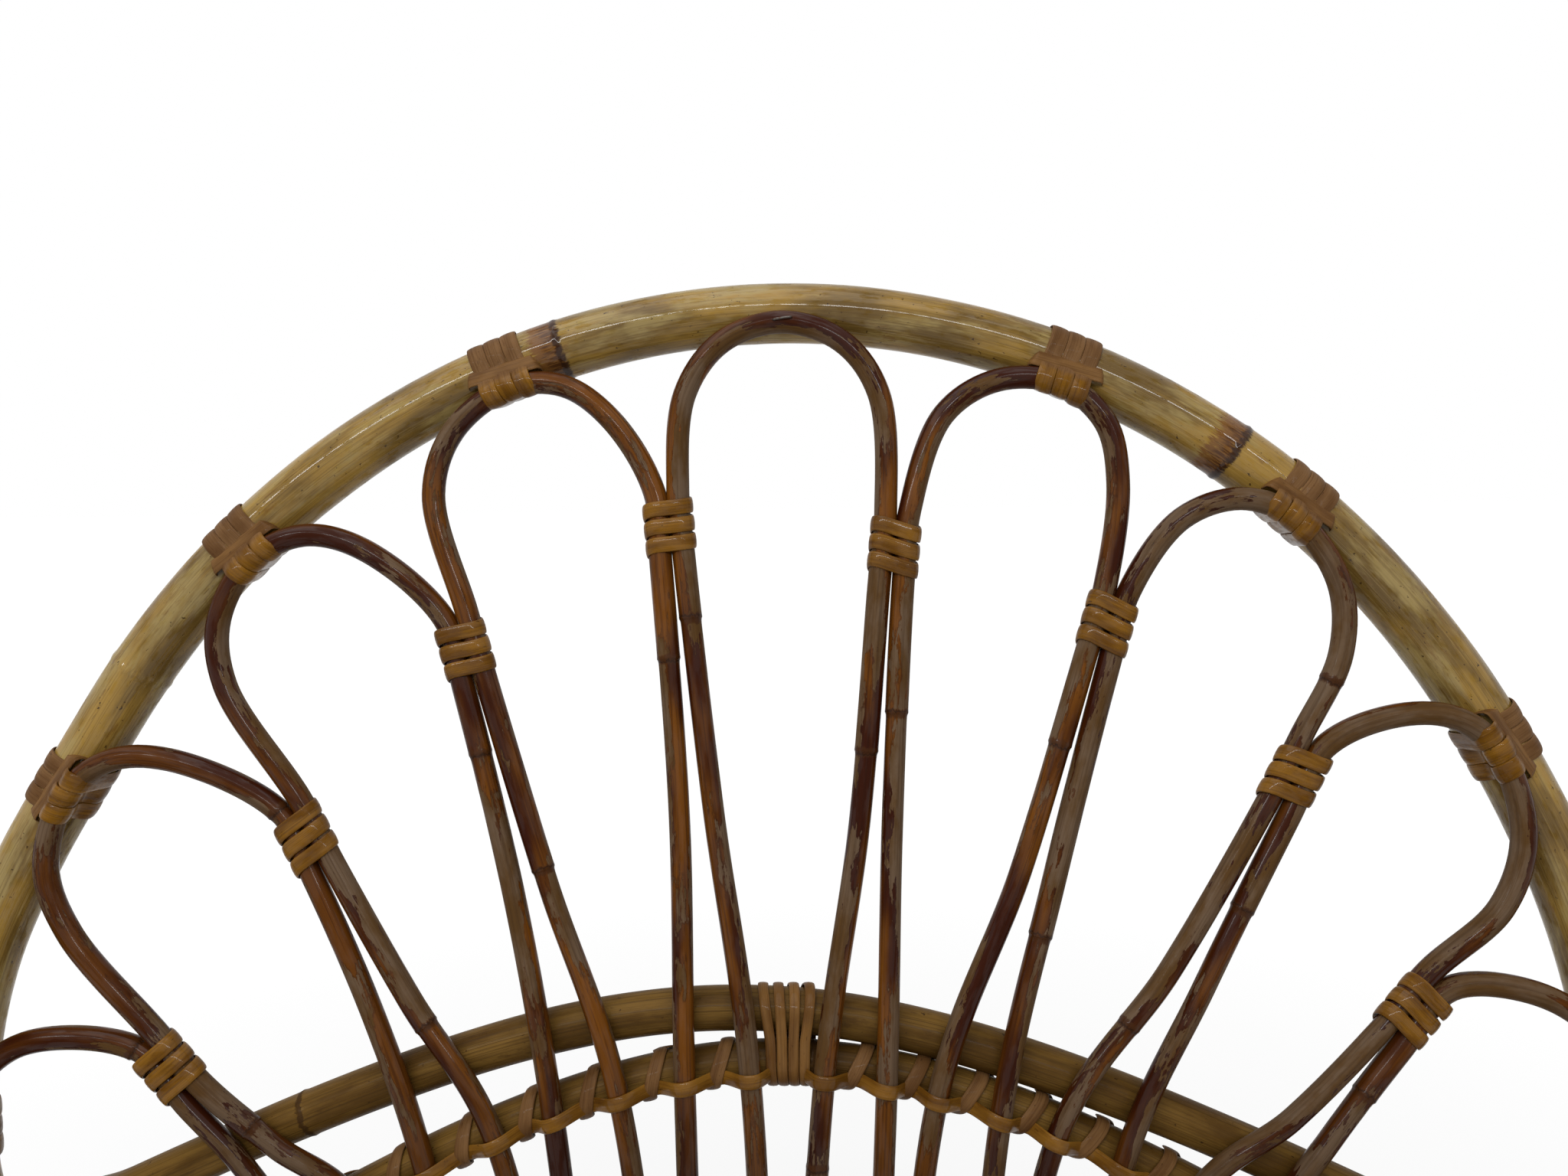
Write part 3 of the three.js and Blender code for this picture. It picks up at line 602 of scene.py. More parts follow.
def pair_place(k):
    """Where petals k and k + 1 meet: the place, the way down and the way to the right."""
    turn = radians(PAIR_TURNS[k + PETAL_SIDE])
    radius = PAIR_RADII[k + PETAL_SIDE]
    place = Vector((radius * sin(turn), HOOP_RISE + radius * cos(turn)))
    down = (Vector((0, HOOP_RISE - FOCUS_DROP)) - place).normalized()
    return place, down, Vector((-down.y, down.x))


def petal_leg(k, side):
    """Knots of one leg of a petal on the plane of the back, from its foot up to the pair tie."""
    leg = abs(k) * 2 - (1 if side * k < 0 else 0)
    half = side if k == 0 else k
    u = -LEFT_LEGS[leg] if half < 0 else RIGHT_LEGS[leg]
    cross = Vector((u, lumbar_at(u)))
    centre = FOOT_PITCH * k
    lean = hypot(1, (u - centre) / (cross.y + FOOT_DROP))
    knots = [Vector((centre + side * (CANE + 2 * GAP) / 2 * lean, -FOOT_DROP)), cross]
    if side * k != PETAL_SIDE:
        place, down, right = pair_place(k if side > 0 else k - 1)
        middle = place - right * side * (CANE + PAIR_SPACE) / 2
        hold = TIE_HALF + TIE_AIR
        bow = RIGHT_LEG_BOW if side > 0 else LEFT_LEG_BOW
        lower = middle + down * hold
        knots += [cross.lerp(lower, 0.5) + right * side * bow, lower, middle - down * hold]
    return knots


def petal_tip(k):
    """How far inside the hoop's line and in front of it the tip of petal k lies, and its half widths."""
    inset = TIP_INSETS[k + PETAL_SIDE]
    front = sqrt((POLE / 2 + CANE / 2 + GAP) ** 2 - inset ** 2)
    return inset, front, LEFT_SHOULDERS[k + PETAL_SIDE], RIGHT_SHOULDERS[k + PETAL_SIDE]


def petal_line(k):
    """A petal from the foot of its left leg round the tip to the foot of its right leg."""
    turn = tip_turn(k)
    out = hoop_out(turn)
    right = Vector((out.y, -out.x))
    inset, front, left_half, right_half = petal_tip(k)
    centre = hoop_place(turn) - out * (inset + TIP_RADIUS)
    tip = []
    for degrees, lift in TIP_KNOTS:
        bow = radians(degrees)
        half = left_half if degrees < 0 else right_half
        flat = centre + out * TIP_RADIUS * cos(bow) + right * half * sin(bow)
        tip.append(Vector((*flat, PETAL_FRONT + (front - PETAL_FRONT) * lift)))
    legs = [[Vector((*flat, PETAL_FRONT)) for flat in petal_leg(k, side)] for side in (-1, 1)]
    return [back(*p) for p in bend([*legs[0], *tip, *reversed(legs[1])], PETAL_STEP)]


def petal_finish():
    """Thin cane with an amber to red-brown stain that has flaked off in ragged patches of bare grey wood.
    The stain flakes least low down and is worn most towards the sides; low on the legs the stain and the bare
    wood are also darkened as painted shade."""
    finish, start, shader = new_finish("flaked stain", Coat_Roughness=0.07, **LACQUER)
    grain = start.attribute("grain", "Vector")
    joint = start.attribute("joint", "Fac")
    side = start.node("ShaderNodeSeparateXYZ", {0: grain})
    place = start.node("ShaderNodeSeparateXYZ", {0: start.node("ShaderNodeTexCoord")["Object"]})
    # Painted shade: a band low on the legs, about 0.41 to 0.64 m up, darkens stain and bare wood; the stain
    # also flakes a little less there.
    low_shade_and_kept = place[2].between(0.64, 0.5) * place[2].between(0.41, 0.46)
    worn = place.size().between(0.13, 0.27)
    depth = grain.noise(40, 8, 3, 0.55)
    streak = grain.noise(800, 15, 3, 0.6)
    stain = depth.between(0.41, 0.59).blend(colour(54, 20, 6), colour(112, 66, 18))
    stain = streak.between(0.44, 0.68).over(stain, 0.55, 44, 17, 5)
    # Painted shade darkens the stain low on the legs.
    stain = low_shade_and_kept.over(stain, 0.75, 34, 13, 4)
    stain = worn.over(stain, 0.5, 56, 24, 9)
    bare = grain.noise(90, 30, 4, 0.6).between(0.35, 0.65).blend(colour(104, 84, 65), colour(86, 60, 30))
    bare = streak.between(0.42, 0.7).over(bare, 0.5, 60, 41, 24)
    # Painted shade darkens the bare wood low on the legs.
    bare = low_shade_and_kept.over(bare, 0.45, 62, 47, 34)
    edge = grain.noise(520, 130, 5, 0.7) - 0.5
    patch = grain.noise(95, 17, 4, 0.6) + edge * 0.26 + side * 14.0 + worn * 0.03 - low_shade_and_kept * 0.04
    ragged = joint + edge * 0.006
    ring = ragged.size().between(0.003, 0.0016)
    flaked = patch.between(0.515, 0.53) * (1 - ring * 0.6)
    tint = flaked.blend(stain, bare)
    rim = patch.between(0.48, 0.513) * (1 - flaked)
    tint = rim.over(tint, 0.5, 40, 17, 7)
    tint = ring.over(tint, 0.75, 66, 37, 15)
    crack = (ragged - 0.0012).size().between(0.0007, 0.0003)
    tint = crack.over(tint, 0.6, 32, 17, 8)
    gloss = flaked * 0.25 + streak * 0.12 + 0.22
    lift = (1 - flaked) * 0.5 + streak * 0.3 - crack * 0.7
    polish = (1 - flaked) * grain.noise(220, 45, 3, 0.6).between(0.42, 0.56) * 0.2 + 0.03
    wear(shader, Base_Color=tint, Roughness=gloss, Normal=lift.bump(0.4, 0.0004), Coat_Weight=polish)
    return finish


PETAL_FINISH = petal_finish()
for k in range(-PETAL_SIDE, PETAL_SIDE + 1):
    line = petal_line(k)
    lengths = measure(line)
    top = max(range(len(line)), key=lambda i: line[i].z + abs(line[i].x) * abs(sin(tip_turn(k))))
    rings = []
    for half, heights in zip((range(0, top), range(top, len(line))), LEG_RINGS[k]):
        for height in heights:
            z = back(0, height, PETAL_FRONT).z
            rings.append(lengths[min(half, key=lambda i: abs(line[i].z - z))])
    rings.sort()
    draw = random.Random(PETAL_SEED + k)
    rise = [place for place in rings if place < lengths[top]]
    shares = [LOOP_SHARE if place == rise[-1] else draw.uniform(*LEG_SHARES) for place in rings]
    petal = rattan(f"petal_cane_{petal_name(k)}", line, CANE, PETAL_FINISH, PETAL_SIDES,
                   list(zip(rings, shares)), STRAY, run=3.7 * (k + 5))
    fit(petal, "cane", f"petal_{petal_name(k)}")


# Pair ties: three turns of peel, the split skin of the cane, wound wet round two petals where they touch.
# The strip is flat inside and crowned outside, and its ends are tucked in behind.
PEEL_SIDES = 20
PEEL_CROWN = 0.3
PEEL_EDGE_POWER = 0.55
PEEL_FACE_POWER = 0.6
WIND_STEP = 0.0025
FRONT_CALM = 0.65
PAIR_SLANTS = (0.08, -0.12, 0.1, 0.0, 0.24, 0.2, -0.1, 0.12)
OUT = back(0, 0, 1) - back(0, 0, 0)


def peel_tree():
    """A strip along a line: face points out of it, grain is (across, through, along) the strip."""
    tree, entry = new_tree("peel strip", {"Width": "NodeSocketFloat", "Thickness": "NodeSocketFloat"})

    def squared(wave, power):
        strength = entry.maths("POWER", wave.size(), power)
        return entry.maths("SIGN", wave) * strength

    line = entry.node("GeometryNodeMeshToCurve", {"Mesh": entry["Geometry"]})
    facing = entry.field("face", "FLOAT_VECTOR")
    line = entry.node("GeometryNodeSetCurveNormal", {"Curve": line, "Normal": facing}, mode="FREE")
    ring = entry.node("GeometryNodeCurvePrimitiveCircle", {"Resolution": PEEL_SIDES, "Radius": 1.0})
    angle = entry.node("GeometryNodeSplineParameter") * tau
    across = squared(entry.maths("COSINE", angle), PEEL_EDGE_POWER) * entry["Width"] * 0.5
    width = entry["Width"]
    crown = (1 - (across * across) / (width * width * 0.25)) * entry["Thickness"] * PEEL_CROWN
    through = squared(entry.maths("SINE", angle), PEEL_FACE_POWER) * entry["Thickness"] * 0.5 + crown
    ring = ring.keep("across", "FLOAT", across).keep("through", "FLOAT", through)
    across = entry.field("across")
    through = entry.field("through")
    spot = entry.node("ShaderNodeCombineXYZ", {0: through, 1: across, 2: 0.0})
    ring = entry.node("GeometryNodeSetPosition", {"Geometry": ring, "Position": spot})
    close_tree(entry, line, ring, 1.0, across, through, entry.field("run"))
    return tree


def peel_finish():
    """Split cane skin: golden and glossy where it was pressed on thin cane, dull pinkish tan elsewhere."""
    finish, start, shader = new_finish("peel", Coat_Roughness=0.08, **LACQUER)
    grain = start.attribute("grain", "Vector")
    sheen = start.attribute("sheen", "Fac")
    cloud = grain.noise(110, 26, 3, 0.6)
    thread = grain.noise(1900, 16, 2, 0.6)
    gold = cloud.between(0.36, 0.64).blend(colour(98, 62, 10), colour(132, 90, 24))
    dull = cloud.between(0.36, 0.64).blend(colour(96, 66, 38), colour(120, 88, 56))
    tint = sheen.blend(dull, gold)
    tint = thread.between(0.45, 0.72).over(tint, 0.45, 64, 38, 15)
    blot = grain.noise(240, 70, 4, 0.7).between(0.6, 0.7)
    tint = blot.over(tint, 0.35, 66, 38, 16)
    speck = grain.noise(600, 200, 2, 0.6).between(0.7, 0.75)
    tint = speck.over(tint, 0.6, 40, 23, 9)
    gloss = thread * 0.15 + cloud * 0.1 + 0.42 - sheen * 0.22
    polish = grain.noise(260, 110, 3, 0.6).between(0.38, 0.55) * sheen * 0.26 + 0.02
    wear(shader, Base_Color=tint, Roughness=gloss, Normal=thread.bump(0.3, 0.0003), Coat_Weight=polish)
    return finish


def peel(name, strip, sheen, width=PEEL_WIDTH, run=0.0):
    """A strip of peel along points and faces, with how it shines, as one value or point by point."""
    row, faces = strip
    shine = sheen if isinstance(sheen, list) else [sheen] * len(row)
    fields = {"face": faces, "run": [s + run for s in measure(row)], "sheen": shine}
    return grow(name, row, fields, PEEL_TREE, Width=width, Thickness=PEEL_THICK, Finish=PEEL_FINISH)


def wound(centre, ex, ey, circles, turns, pitch, dip=0.0, slant=0.0, steps=64):
    """Points and faces of a strip wound round canes; circles gives their sections (x, y, r) at a place.
    It goes ahead mostly behind them, and may dip into the valley between two."""
    axis = ex.cross(ey)
    row = []
    faces = []
    place = -turns * pitch / 2
    before = None
    for i in range(turns * steps + 1):
        angle = tau * i / steps - pi / 2
        way = Vector((cos(angle), sin(angle)))
        x, y, r = max(circles(place), key=lambda c: c[0] * way.x + c[1] * way.y + c[2])
        spot = Vector((x, y)) + way * r
        jump = 0.0 if before is None else (spot - before[0]).length
        count = max(1, ceil(jump / WIND_STEP))
        for n in range(1, count + 1):
            t = n / count
            here = spot if before is None else before[0].lerp(spot, t)
            facing = way if before is None else before[1].lerp(way, t).normalized()
            if count > 1 and facing.y > 0:
                here = here - facing * dip * sin(pi * t) ** 2
            ahead = place + pitch / steps * (1 - FRONT_CALM * facing.y) * n / count + slant * here.x
            row.append(centre + ex * here.x + ey * here.y + axis * ahead)
            faces.append(ex * facing.x + ey * facing.y)
        place += pitch / steps * (1 - FRONT_CALM * way.y)
        before = (spot, way)
    return row, faces


def across_back(flat):
    """A direction on the plane of the back as a direction of the chair."""
    return back(flat.x, flat.y) - back(0, 0)


PEEL_TREE = peel_tree()
PEEL_FINISH = peel_finish()
for k in range(-PETAL_SIDE, PETAL_SIDE):
    place, down, right = pair_place(k)
    off = (CANE + PAIR_SPACE) / 2
    snug = CANE / 2 + GAP + PEEL_THICK / 2
    pair = [(-off, 0.0, snug), (off, 0.0, snug)]
    centre = back(place.x, place.y, PETAL_FRONT)
    slant = PAIR_SLANTS[k + PETAL_SIDE]
    strip = wound(centre, across_back(right), OUT, lambda at: pair, TIE_TURNS, PEEL_PITCH, slant=slant)
    name = f"{petal_name(k)}_{petal_name(k + 1)}"
    tie = peel(f"pair_peel_{name}", strip, sheen=0.9, run=1.3 * (k + 6))
    fit(tie, "peel", f"pair_tie_{name}")


# Tip ties: the peel goes round the hoop and the tip of a petal, then once along the valley between the two,
# which pulls the turns into it. It shines only on the petal. The middle petal has none, a staple holds it.
TIP_PEEL = 0.0094
BAND_WIDTH = 0.0092
BAND_HALF = 0.0172
BAND_STEPS = 48
BAND_FLAT = 0.8
BAND_END = 0.002
BAND_IN = 0.0055
BAND_FRONT = 0.0170
BAND_SLOPE = 0.28
BAND_TUCK = 0.009
BAND_CURL = 1.4
BAND_LEAN = 0.12
BAND_FACE = radians(108)
VALLEY_DIP = 0.003
SHINE_EDGE = 0.006
SHINE_SPAN = 0.003
for k in range(-PETAL_SIDE, PETAL_SIDE + 1):
    if k == 0:
        continue
    turn = tip_turn(k)
    snug = GAP + PEEL_THICK / 2
    inset, front, left_half, right_half = petal_tip(k)

    def hoop_and_tip(at):
        half = left_half if at > 0 else right_half
        at = min(abs(at), TIE_HALF)
        sag = TIP_RADIUS * (1 - sqrt(1 - (at / half) ** 2))
        curve = at ** 2 / HOOP_RADIUS / 2
        return [(curve, 0.0, POLE / 2 + snug), (inset + sag, front, CANE / 2 + snug)]

    centre = hoop_spot(turn)
    ex = across_back(-hoop_out(turn))
    strip = wound(centre, ex, OUT, hoop_and_tip, TIE_TURNS, PEEL_PITCH, dip=VALLEY_DIP)
    inward = [(p - centre).dot(ex) for p in strip[0]]
    shine = [min(max((u - inset + SHINE_EDGE) / SHINE_SPAN, 0.0), 1.0) for u in inward]
    tie = peel(f"tip_peel_{petal_name(k)}", strip, shine, TIP_PEEL, run=1.7 * (k + 7))
    fit(tie, "peel", f"tip_tie_{petal_name(k)}")

    tilt = atan2(front, inset) - atan2(PETAL_FRONT, TIP_INSET)
    along = ex.cross(OUT)
    lean = copysign(BAND_LEAN, -k)
    valley_in = ex * cos(tilt) + OUT * sin(tilt)
    valley_out = OUT * cos(tilt) - ex * sin(tilt)
    facing = ex * cos(BAND_FACE + tilt) + OUT * sin(BAND_FACE + tilt)
    row = []
    faces = []
    for i in range(BAND_STEPS + 1):
        t = i / BAND_STEPS * 2 - 1
        fold = max(abs(t) - BAND_FLAT, 0) / (1 - BAND_FLAT)
        side = copysign(min(abs(t), BAND_FLAT) / BAND_FLAT, t)
        slide = BAND_HALF * side + copysign(BAND_END * sin(fold * pi / 2), t)
        depth = BAND_FRONT - BAND_SLOPE * lean * slide - BAND_TUCK * (1 - cos(fold * pi / 2))
        row.append(centre + valley_in * (BAND_IN - lean * slide) + valley_out * depth + along * slide)
        curl = along * copysign(sin(fold * BAND_CURL), t)
        faces.append((facing * cos(fold * BAND_CURL) + curl).normalized())
    band = peel(f"tip_band_{petal_name(k)}", (row, faces), 0.25, BAND_WIDTH, run=2.1 * (k + 9))
    fit(band, "peel")


# Arch tie: four narrow turns of peel round both arches, between the legs of the middle petal. They are drawn
# together at the bottom and fan out at the top.
ARCH_TURNS = 4
ARCH_PITCH = (LEFT_LEGS[0] + RIGHT_LEGS[0] - CANE - 8 * GAP) / ARCH_TURNS
ARCH_PEEL = ARCH_PITCH * 0.88
FAN_FOOT = 0.9
FAN_RISE = 0.1
FAN_FROM = 0.55
FAN_HEAD = 0.7
arch_middle = (RIGHT_LEGS[0] - LEFT_LEGS[0]) / 2
snug = 2 * GAP + PEEL_THICK / 2
low = (lumbar_at(arch_middle), LUMBAR_FRONT, LUMBAR / 2 + snug)
high = (brace_at(arch_middle), BRACE_FRONT, BRACE / 2 + snug)
up = across_back(Vector((0, 1)))
strip = wound(back(arch_middle, 0), up, OUT, lambda at: (low, high), ARCH_TURNS, ARCH_PITCH)
bottom = min(p.z for p in strip[0])
tall = max(p.z for p in strip[0]) - bottom
for p in strip[0]:
    share = (p.z - bottom) / tall
    fan = FAN_FOOT + FAN_RISE * share + FAN_HEAD * max(share - FAN_FROM, 0)
    p.x = arch_middle + (p.x - arch_middle) * fan
fit(peel("arch_peel", strip, 0.4, ARCH_PEEL, run=30.0), "peel", "arch_tie")


# Lumbar lacing: on each half a runner of peel lies in front of the legs, and a second strip, wound round the
# arch once between every two legs, goes over the runner and draws it back against the arch.
LACING_WIDTH = 0.0072
LACING_DROP = 0.004
LACING_END = 0.0095
LACING_LIFT = 0.001
LACING_REST = 0.002
LACING_STEP = 0.0015
LEG_TURNS = (-44, -22, 0, 22, 44)
WRAP_LEAN = 0.005
WRAP_AIR = 0.003
WRAP_NEXT = 0.004
WRAP_TAIL = 0.012
WRAP_OVER = 0.0014
OVER_TURN = -22
OVER_SPAN = 30
WRAP_STEP = 8


def arch_spot(u, rise, front):
    """A point by the lumbar arch, from its place across, its rise and its depth, and the way up there."""
    near = 0.001
    slope = (lumbar_at(u + near) - lumbar_at(u - near)) / (2 * near)
    up = across_back(Vector((-slope, 1)).normalized())
    return back(u, lumbar_at(u), LUMBAR_FRONT) + up * rise + OUT * front, up


def runner_line(legs):
    """Points and faces of the runner, from left to right over the legs, back to the arch between them."""
    rest = PETAL_FRONT - LUMBAR_FRONT
    hug = CANE / 2 + GAP + PEEL_THICK / 2
    lie = sqrt((LUMBAR / 2) ** 2 - LACING_DROP ** 2) + GAP + PEEL_THICK / 2
    places = [(legs[0] - LACING_END, lie + LACING_LIFT)]
    for n, u in enumerate(legs):
        for turn in map(radians, LEG_TURNS):
            places.append((u + hug * sin(turn), rest + hug * cos(turn)))
        if n + 1 < len(legs):
            middle = (u + legs[n + 1]) / 2
            places += [(middle - LACING_REST, lie), (middle + LACING_REST, lie)]
    places.append((legs[-1] + LACING_END, lie + LACING_LIFT))
    row = bend([arch_spot(u, -LACING_DROP, front)[0] for u, front in places], LACING_STEP)
    faces = []
    for i, p in enumerate(row):
        way = (row[min(i + 1, len(row) - 1)] - row[max(i - 1, 0)]).normalized()
        faces.append(way.cross(arch_spot(p.x, 0, 0)[1]).normalized())
    if faces[0].dot(OUT) < 0:
        faces = [-face for face in faces]
    return row, faces


def wrap_line(legs):
    """Points and faces of the wound strip: down the front of each gap, on behind to the next on the left."""
    gaps = list(zip(legs, legs[1:]))[::-1]
    row = []
    faces = []
    for n, (a, b) in enumerate(gaps):
        last = n + 1 == len(gaps)
        lean = min(WRAP_LEAN, (b - a - CANE) / 2 - WRAP_AIR)
        leave = (a + b) / 2 - lean
        after = leave - WRAP_TAIL if last else sum(gaps[n + 1]) / 2 + WRAP_NEXT
        for degrees in range(90 if n else 140, -160 if last else -270, -WRAP_STEP):
            turn = radians(degrees)
            if degrees > -90:
                u = (a + b) / 2 + lean * sin(min(turn, pi / 2))
            else:
                u = leave + (after - leave) * (-90 - degrees) / 180
            over = WRAP_OVER * exp(-(((degrees - OVER_TURN) / OVER_SPAN) ** 2))
            radius = LUMBAR / 2 + GAP + PEEL_THICK / 2 + over
            spot, up = arch_spot(u, radius * sin(turn), radius * cos(turn))
            row.append(spot)
            faces.append(up * sin(turn) + OUT * cos(turn))
    return row, faces


for name, legs in (("left", [-u for u in reversed(LEFT_LEGS)]), ("right", list(RIGHT_LEGS))):
    runner = peel(f"lacing_peel_{name}", runner_line(legs), 0.85, LACING_WIDTH, run=40.0 + len(name))
    fit(runner, "peel", f"lumbar_lacing_{name}")
    wrap = peel(f"lacing_wrap_{name}", wrap_line(legs), 0.1, LACING_WIDTH, run=44.0 + len(name))
    fit(wrap, "peel")


# Staple: a bent steel wire that pins the tip of the middle petal to the hoop.
STAPLE_WIRE = 0.0013
STAPLE_HALF = 0.0045
STAPLE_LIE = CANE / 2 * LOOP_SHARE
STAPLE_SIDE = 0.003
STAPLE_SLOPE = 0.0006
STAPLE_STEP = 0.0006
STAPLE_KNOTS = ((-1, -0.004), (-1, 0.0004), (-0.8, 0.0009), (0.8, 0.0009), (1, 0.0004), (1, -0.004))


def staple_finish():
    """Dull dark steel with some rust."""
    finish, start, shader = new_finish("dull steel", Metallic=1.0)
    place = start.node("ShaderNodeTexCoord")["Object"]
    rust = place.noise(900, 900, 3, 0.6).between(0.45, 0.7)
    wear(shader, Base_Color=rust.blend(colour(82, 78, 74), colour(70, 44, 28)), Roughness=rust * 0.3 + 0.35)
    return finish


STAPLE_FINISH = staple_finish()
tip_inset, tip_front, _, _ = petal_tip(0)
tip_height = HOOP_TOP - tip_inset
knots = []
for u, w in STAPLE_KNOTS:
    height = tip_height + u * STAPLE_SLOPE
    knots.append(back(u * STAPLE_HALF + STAPLE_SIDE, height, tip_front + STAPLE_LIE + w))
staple = rattan("petal_staple", bend(knots, STAPLE_STEP), STAPLE_WIRE, STAPLE_FINISH, 8)
fit(staple, "peel")


# Rear rail, seat frame and cross rails: straight and bent poles that carry the seat, butted and pinned.
# The seat frame is one pole bent to a U with a rounded front.
SEAT_HALF = 0.290
SEAT_STRAIGHT = 0.200
SEAT_ROUNDNESS = 2.6
SEAT_BOW_STEPS = 120
SEAT_SIDE_STEPS = 30
SEAT_RINGS = ((0.18, 1.0), (0.62, 1.0), (1.08, 1.0))
STICK_STEP = 0.01
RAIL_SIDES = 24
REAR_CROSS = 0.062
FRONT_CROSS = 0.285
LEG_POINTS = 110
RAIL_BACK = PETAL_FRONT - CANE / 2 - RAIL / 2 - GAP
rail_centre = back(0, 0, RAIL_BACK)
seat_start = rail_centre.y - RAIL / 2 - GAP
seat_middle = BACK_Y - SEAT_STRAIGHT
seat_reach = SEAT_DEPTH - SEAT_STRAIGHT


def at_height(points, z):
    """Where a row of points passes a height."""
    for a, b in zip(points, points[1:]):
        if (a.z - z) * (b.z - z) <= 0 and a.z != b.z:
            return a.lerp(b, (z - a.z) / (b.z - a.z))
    raise ValueError("the row does not pass this height")


def seat_curve(turn):
    """A point of the rounded front of the seat frame."""
    def power(value):
        return copysign(abs(value) ** (2 / SEAT_ROUNDNESS), value)
    across = SEAT_HALF * power(cos(turn))
    return Vector((across, seat_middle - seat_reach * power(sin(turn)), RAIL_HEIGHT))


def seat_bow(share):
    """How wide the seat frame still is at a share of its rounded front, and the other way round."""
    return (1 - share ** SEAT_ROUNDNESS) ** (1 / SEAT_ROUNDNESS)


def stick(name, half, y, z, run):
    """A straight pole across the chair, with a leaf ring somewhere."""
    ends = [Vector((side * half, y, z)) for side in (-1, 1)]
    length = (ends[1] - ends[0]).length
    count = max(2, round(length / STICK_STEP))
    draw = random.Random(name)
    row = [ends[0].lerp(ends[1], i / count) for i in range(count + 1)]
    rings = [(length * draw.uniform(0.2, 0.8), 1.0)]
    return rattan(name, row, RAIL, POLE_FINISH, RAIL_SIDES, rings, STRAY, run)


rear_legs = {-1: hoop_line[:LEG_POINTS], 1: hoop_line[-LEG_POINTS:]}
heights = [rail_centre.z + share * RAIL for share in (-0.5, 0, 0.5)]
rail_half = min(at_height(rear_legs[1], z).x for z in heights) - POLE / 2 - 2 * GAP
rail = stick("rear_rail_pole", rail_half, rail_centre.y, rail_centre.z, run=8.0)
fit(rail, "pole", "rear_rail")

bow = [seat_curve(pi * i / SEAT_BOW_STEPS) for i in range(SEAT_BOW_STEPS + 1)]
left_end = Vector((-SEAT_HALF, seat_start, RAIL_HEIGHT))
right_end = Vector((SEAT_HALF, seat_start, RAIL_HEIGHT))
right_side = [right_end.lerp(bow[0], i / SEAT_SIDE_STEPS) for i in range(SEAT_SIDE_STEPS)]
left_side = [bow[-1].lerp(left_end, (i + 1) / SEAT_SIDE_STEPS) for i in range(SEAT_SIDE_STEPS)]
seat = rattan("seat_hoop_pole", right_side + bow + left_side, RAIL, POLE_FINISH, RAIL_SIDES, SEAT_RINGS,
              STRAY, run=9.0)
fit(seat, "pole", "seat_frame")

for node, behind in (("cross_rail_rear", REAR_CROSS), ("cross_rail_front", FRONT_CROSS)):
    y = BACK_Y - behind
    share = max(seat_middle - (y - RAIL / 2), 0) / seat_reach
    half = SEAT_HALF * seat_bow(share) - RAIL / 2 - 2 * GAP
    fit(stick(f"{node}_pole", half, y, RAIL_HEIGHT, run=11.0 + behind), "pole", node)


# Seat loops: hairpins of thin cane side by side, nailed down on the seat frame and the cross rails.
DECK = 0.010
DECK_PITCH = 0.030
DECK_LOOPS = 9
DECK_REAR = 0.045
DECK_STEPS = 60
DECK_BOW_STEPS = 24
DECK_SIDES = 16
DECK_SEED = 60
DECK_STRAY = 0.01
deck_height = RAIL_HEIGHT + (RAIL + DECK) / 2
for i in range(DECK_LOOPS):
    x = (i - (DECK_LOOPS - 1) / 2) * DECK_PITCH * 2
    half = DECK_PITCH / 2
    rear = BACK_Y - DECK_REAR
    front = seat_middle - seat_reach * seat_bow((abs(x) + half) / SEAT_HALF) + half
    flat = [(x - half, rear + (front - rear) * s / DECK_STEPS) for s in range(DECK_STEPS)]
    for s in range(DECK_BOW_STEPS + 1):
        angle = pi * (1 - s / DECK_BOW_STEPS)
        flat.append((x + half * cos(angle), front - half * sin(angle)))
    flat += [(x + half, front + (rear - front) * s / DECK_STEPS) for s in range(1, DECK_STEPS + 1)]
    row = [Vector((*place, deck_height)) for place in flat]
    draw = random.Random(DECK_SEED + i)
    rings = [(draw.uniform(0.08, 0.3), 0.97), (draw.uniform(0.5, 0.75), 1.0)]
    loop = rattan(f"seat_cane_{i + 1}", row, DECK, PETAL_FINISH, DECK_SIDES, rings, DECK_STRAY,
                  run=50.0 + 2.3 * i)
    fit(loop, "cane", f"seat_loop_{i + 1}")


# Arm poles: each is arm and front leg in one, bent up past the seat frame, outwards and back to the hoop.
ARM_ANGLE = radians(81)
ARM_SPREAD = 0.438
ARM_HEIGHT = 0.610
FRONT_LEG_TURN = radians(40)
FRONT_FOOT_OUT = 0.014
CALF_OUT = 0.4
CALF_HEIGHT = 0.6
ARM_STUB = 0.025
ARM_BENDS = ((0.2, 0, 0.45), (0.48, 0.03, 0.83), (0.7, 0.14, 0.98), (0.93, 0.4, 1.02), (1, 0.72, 1.01))


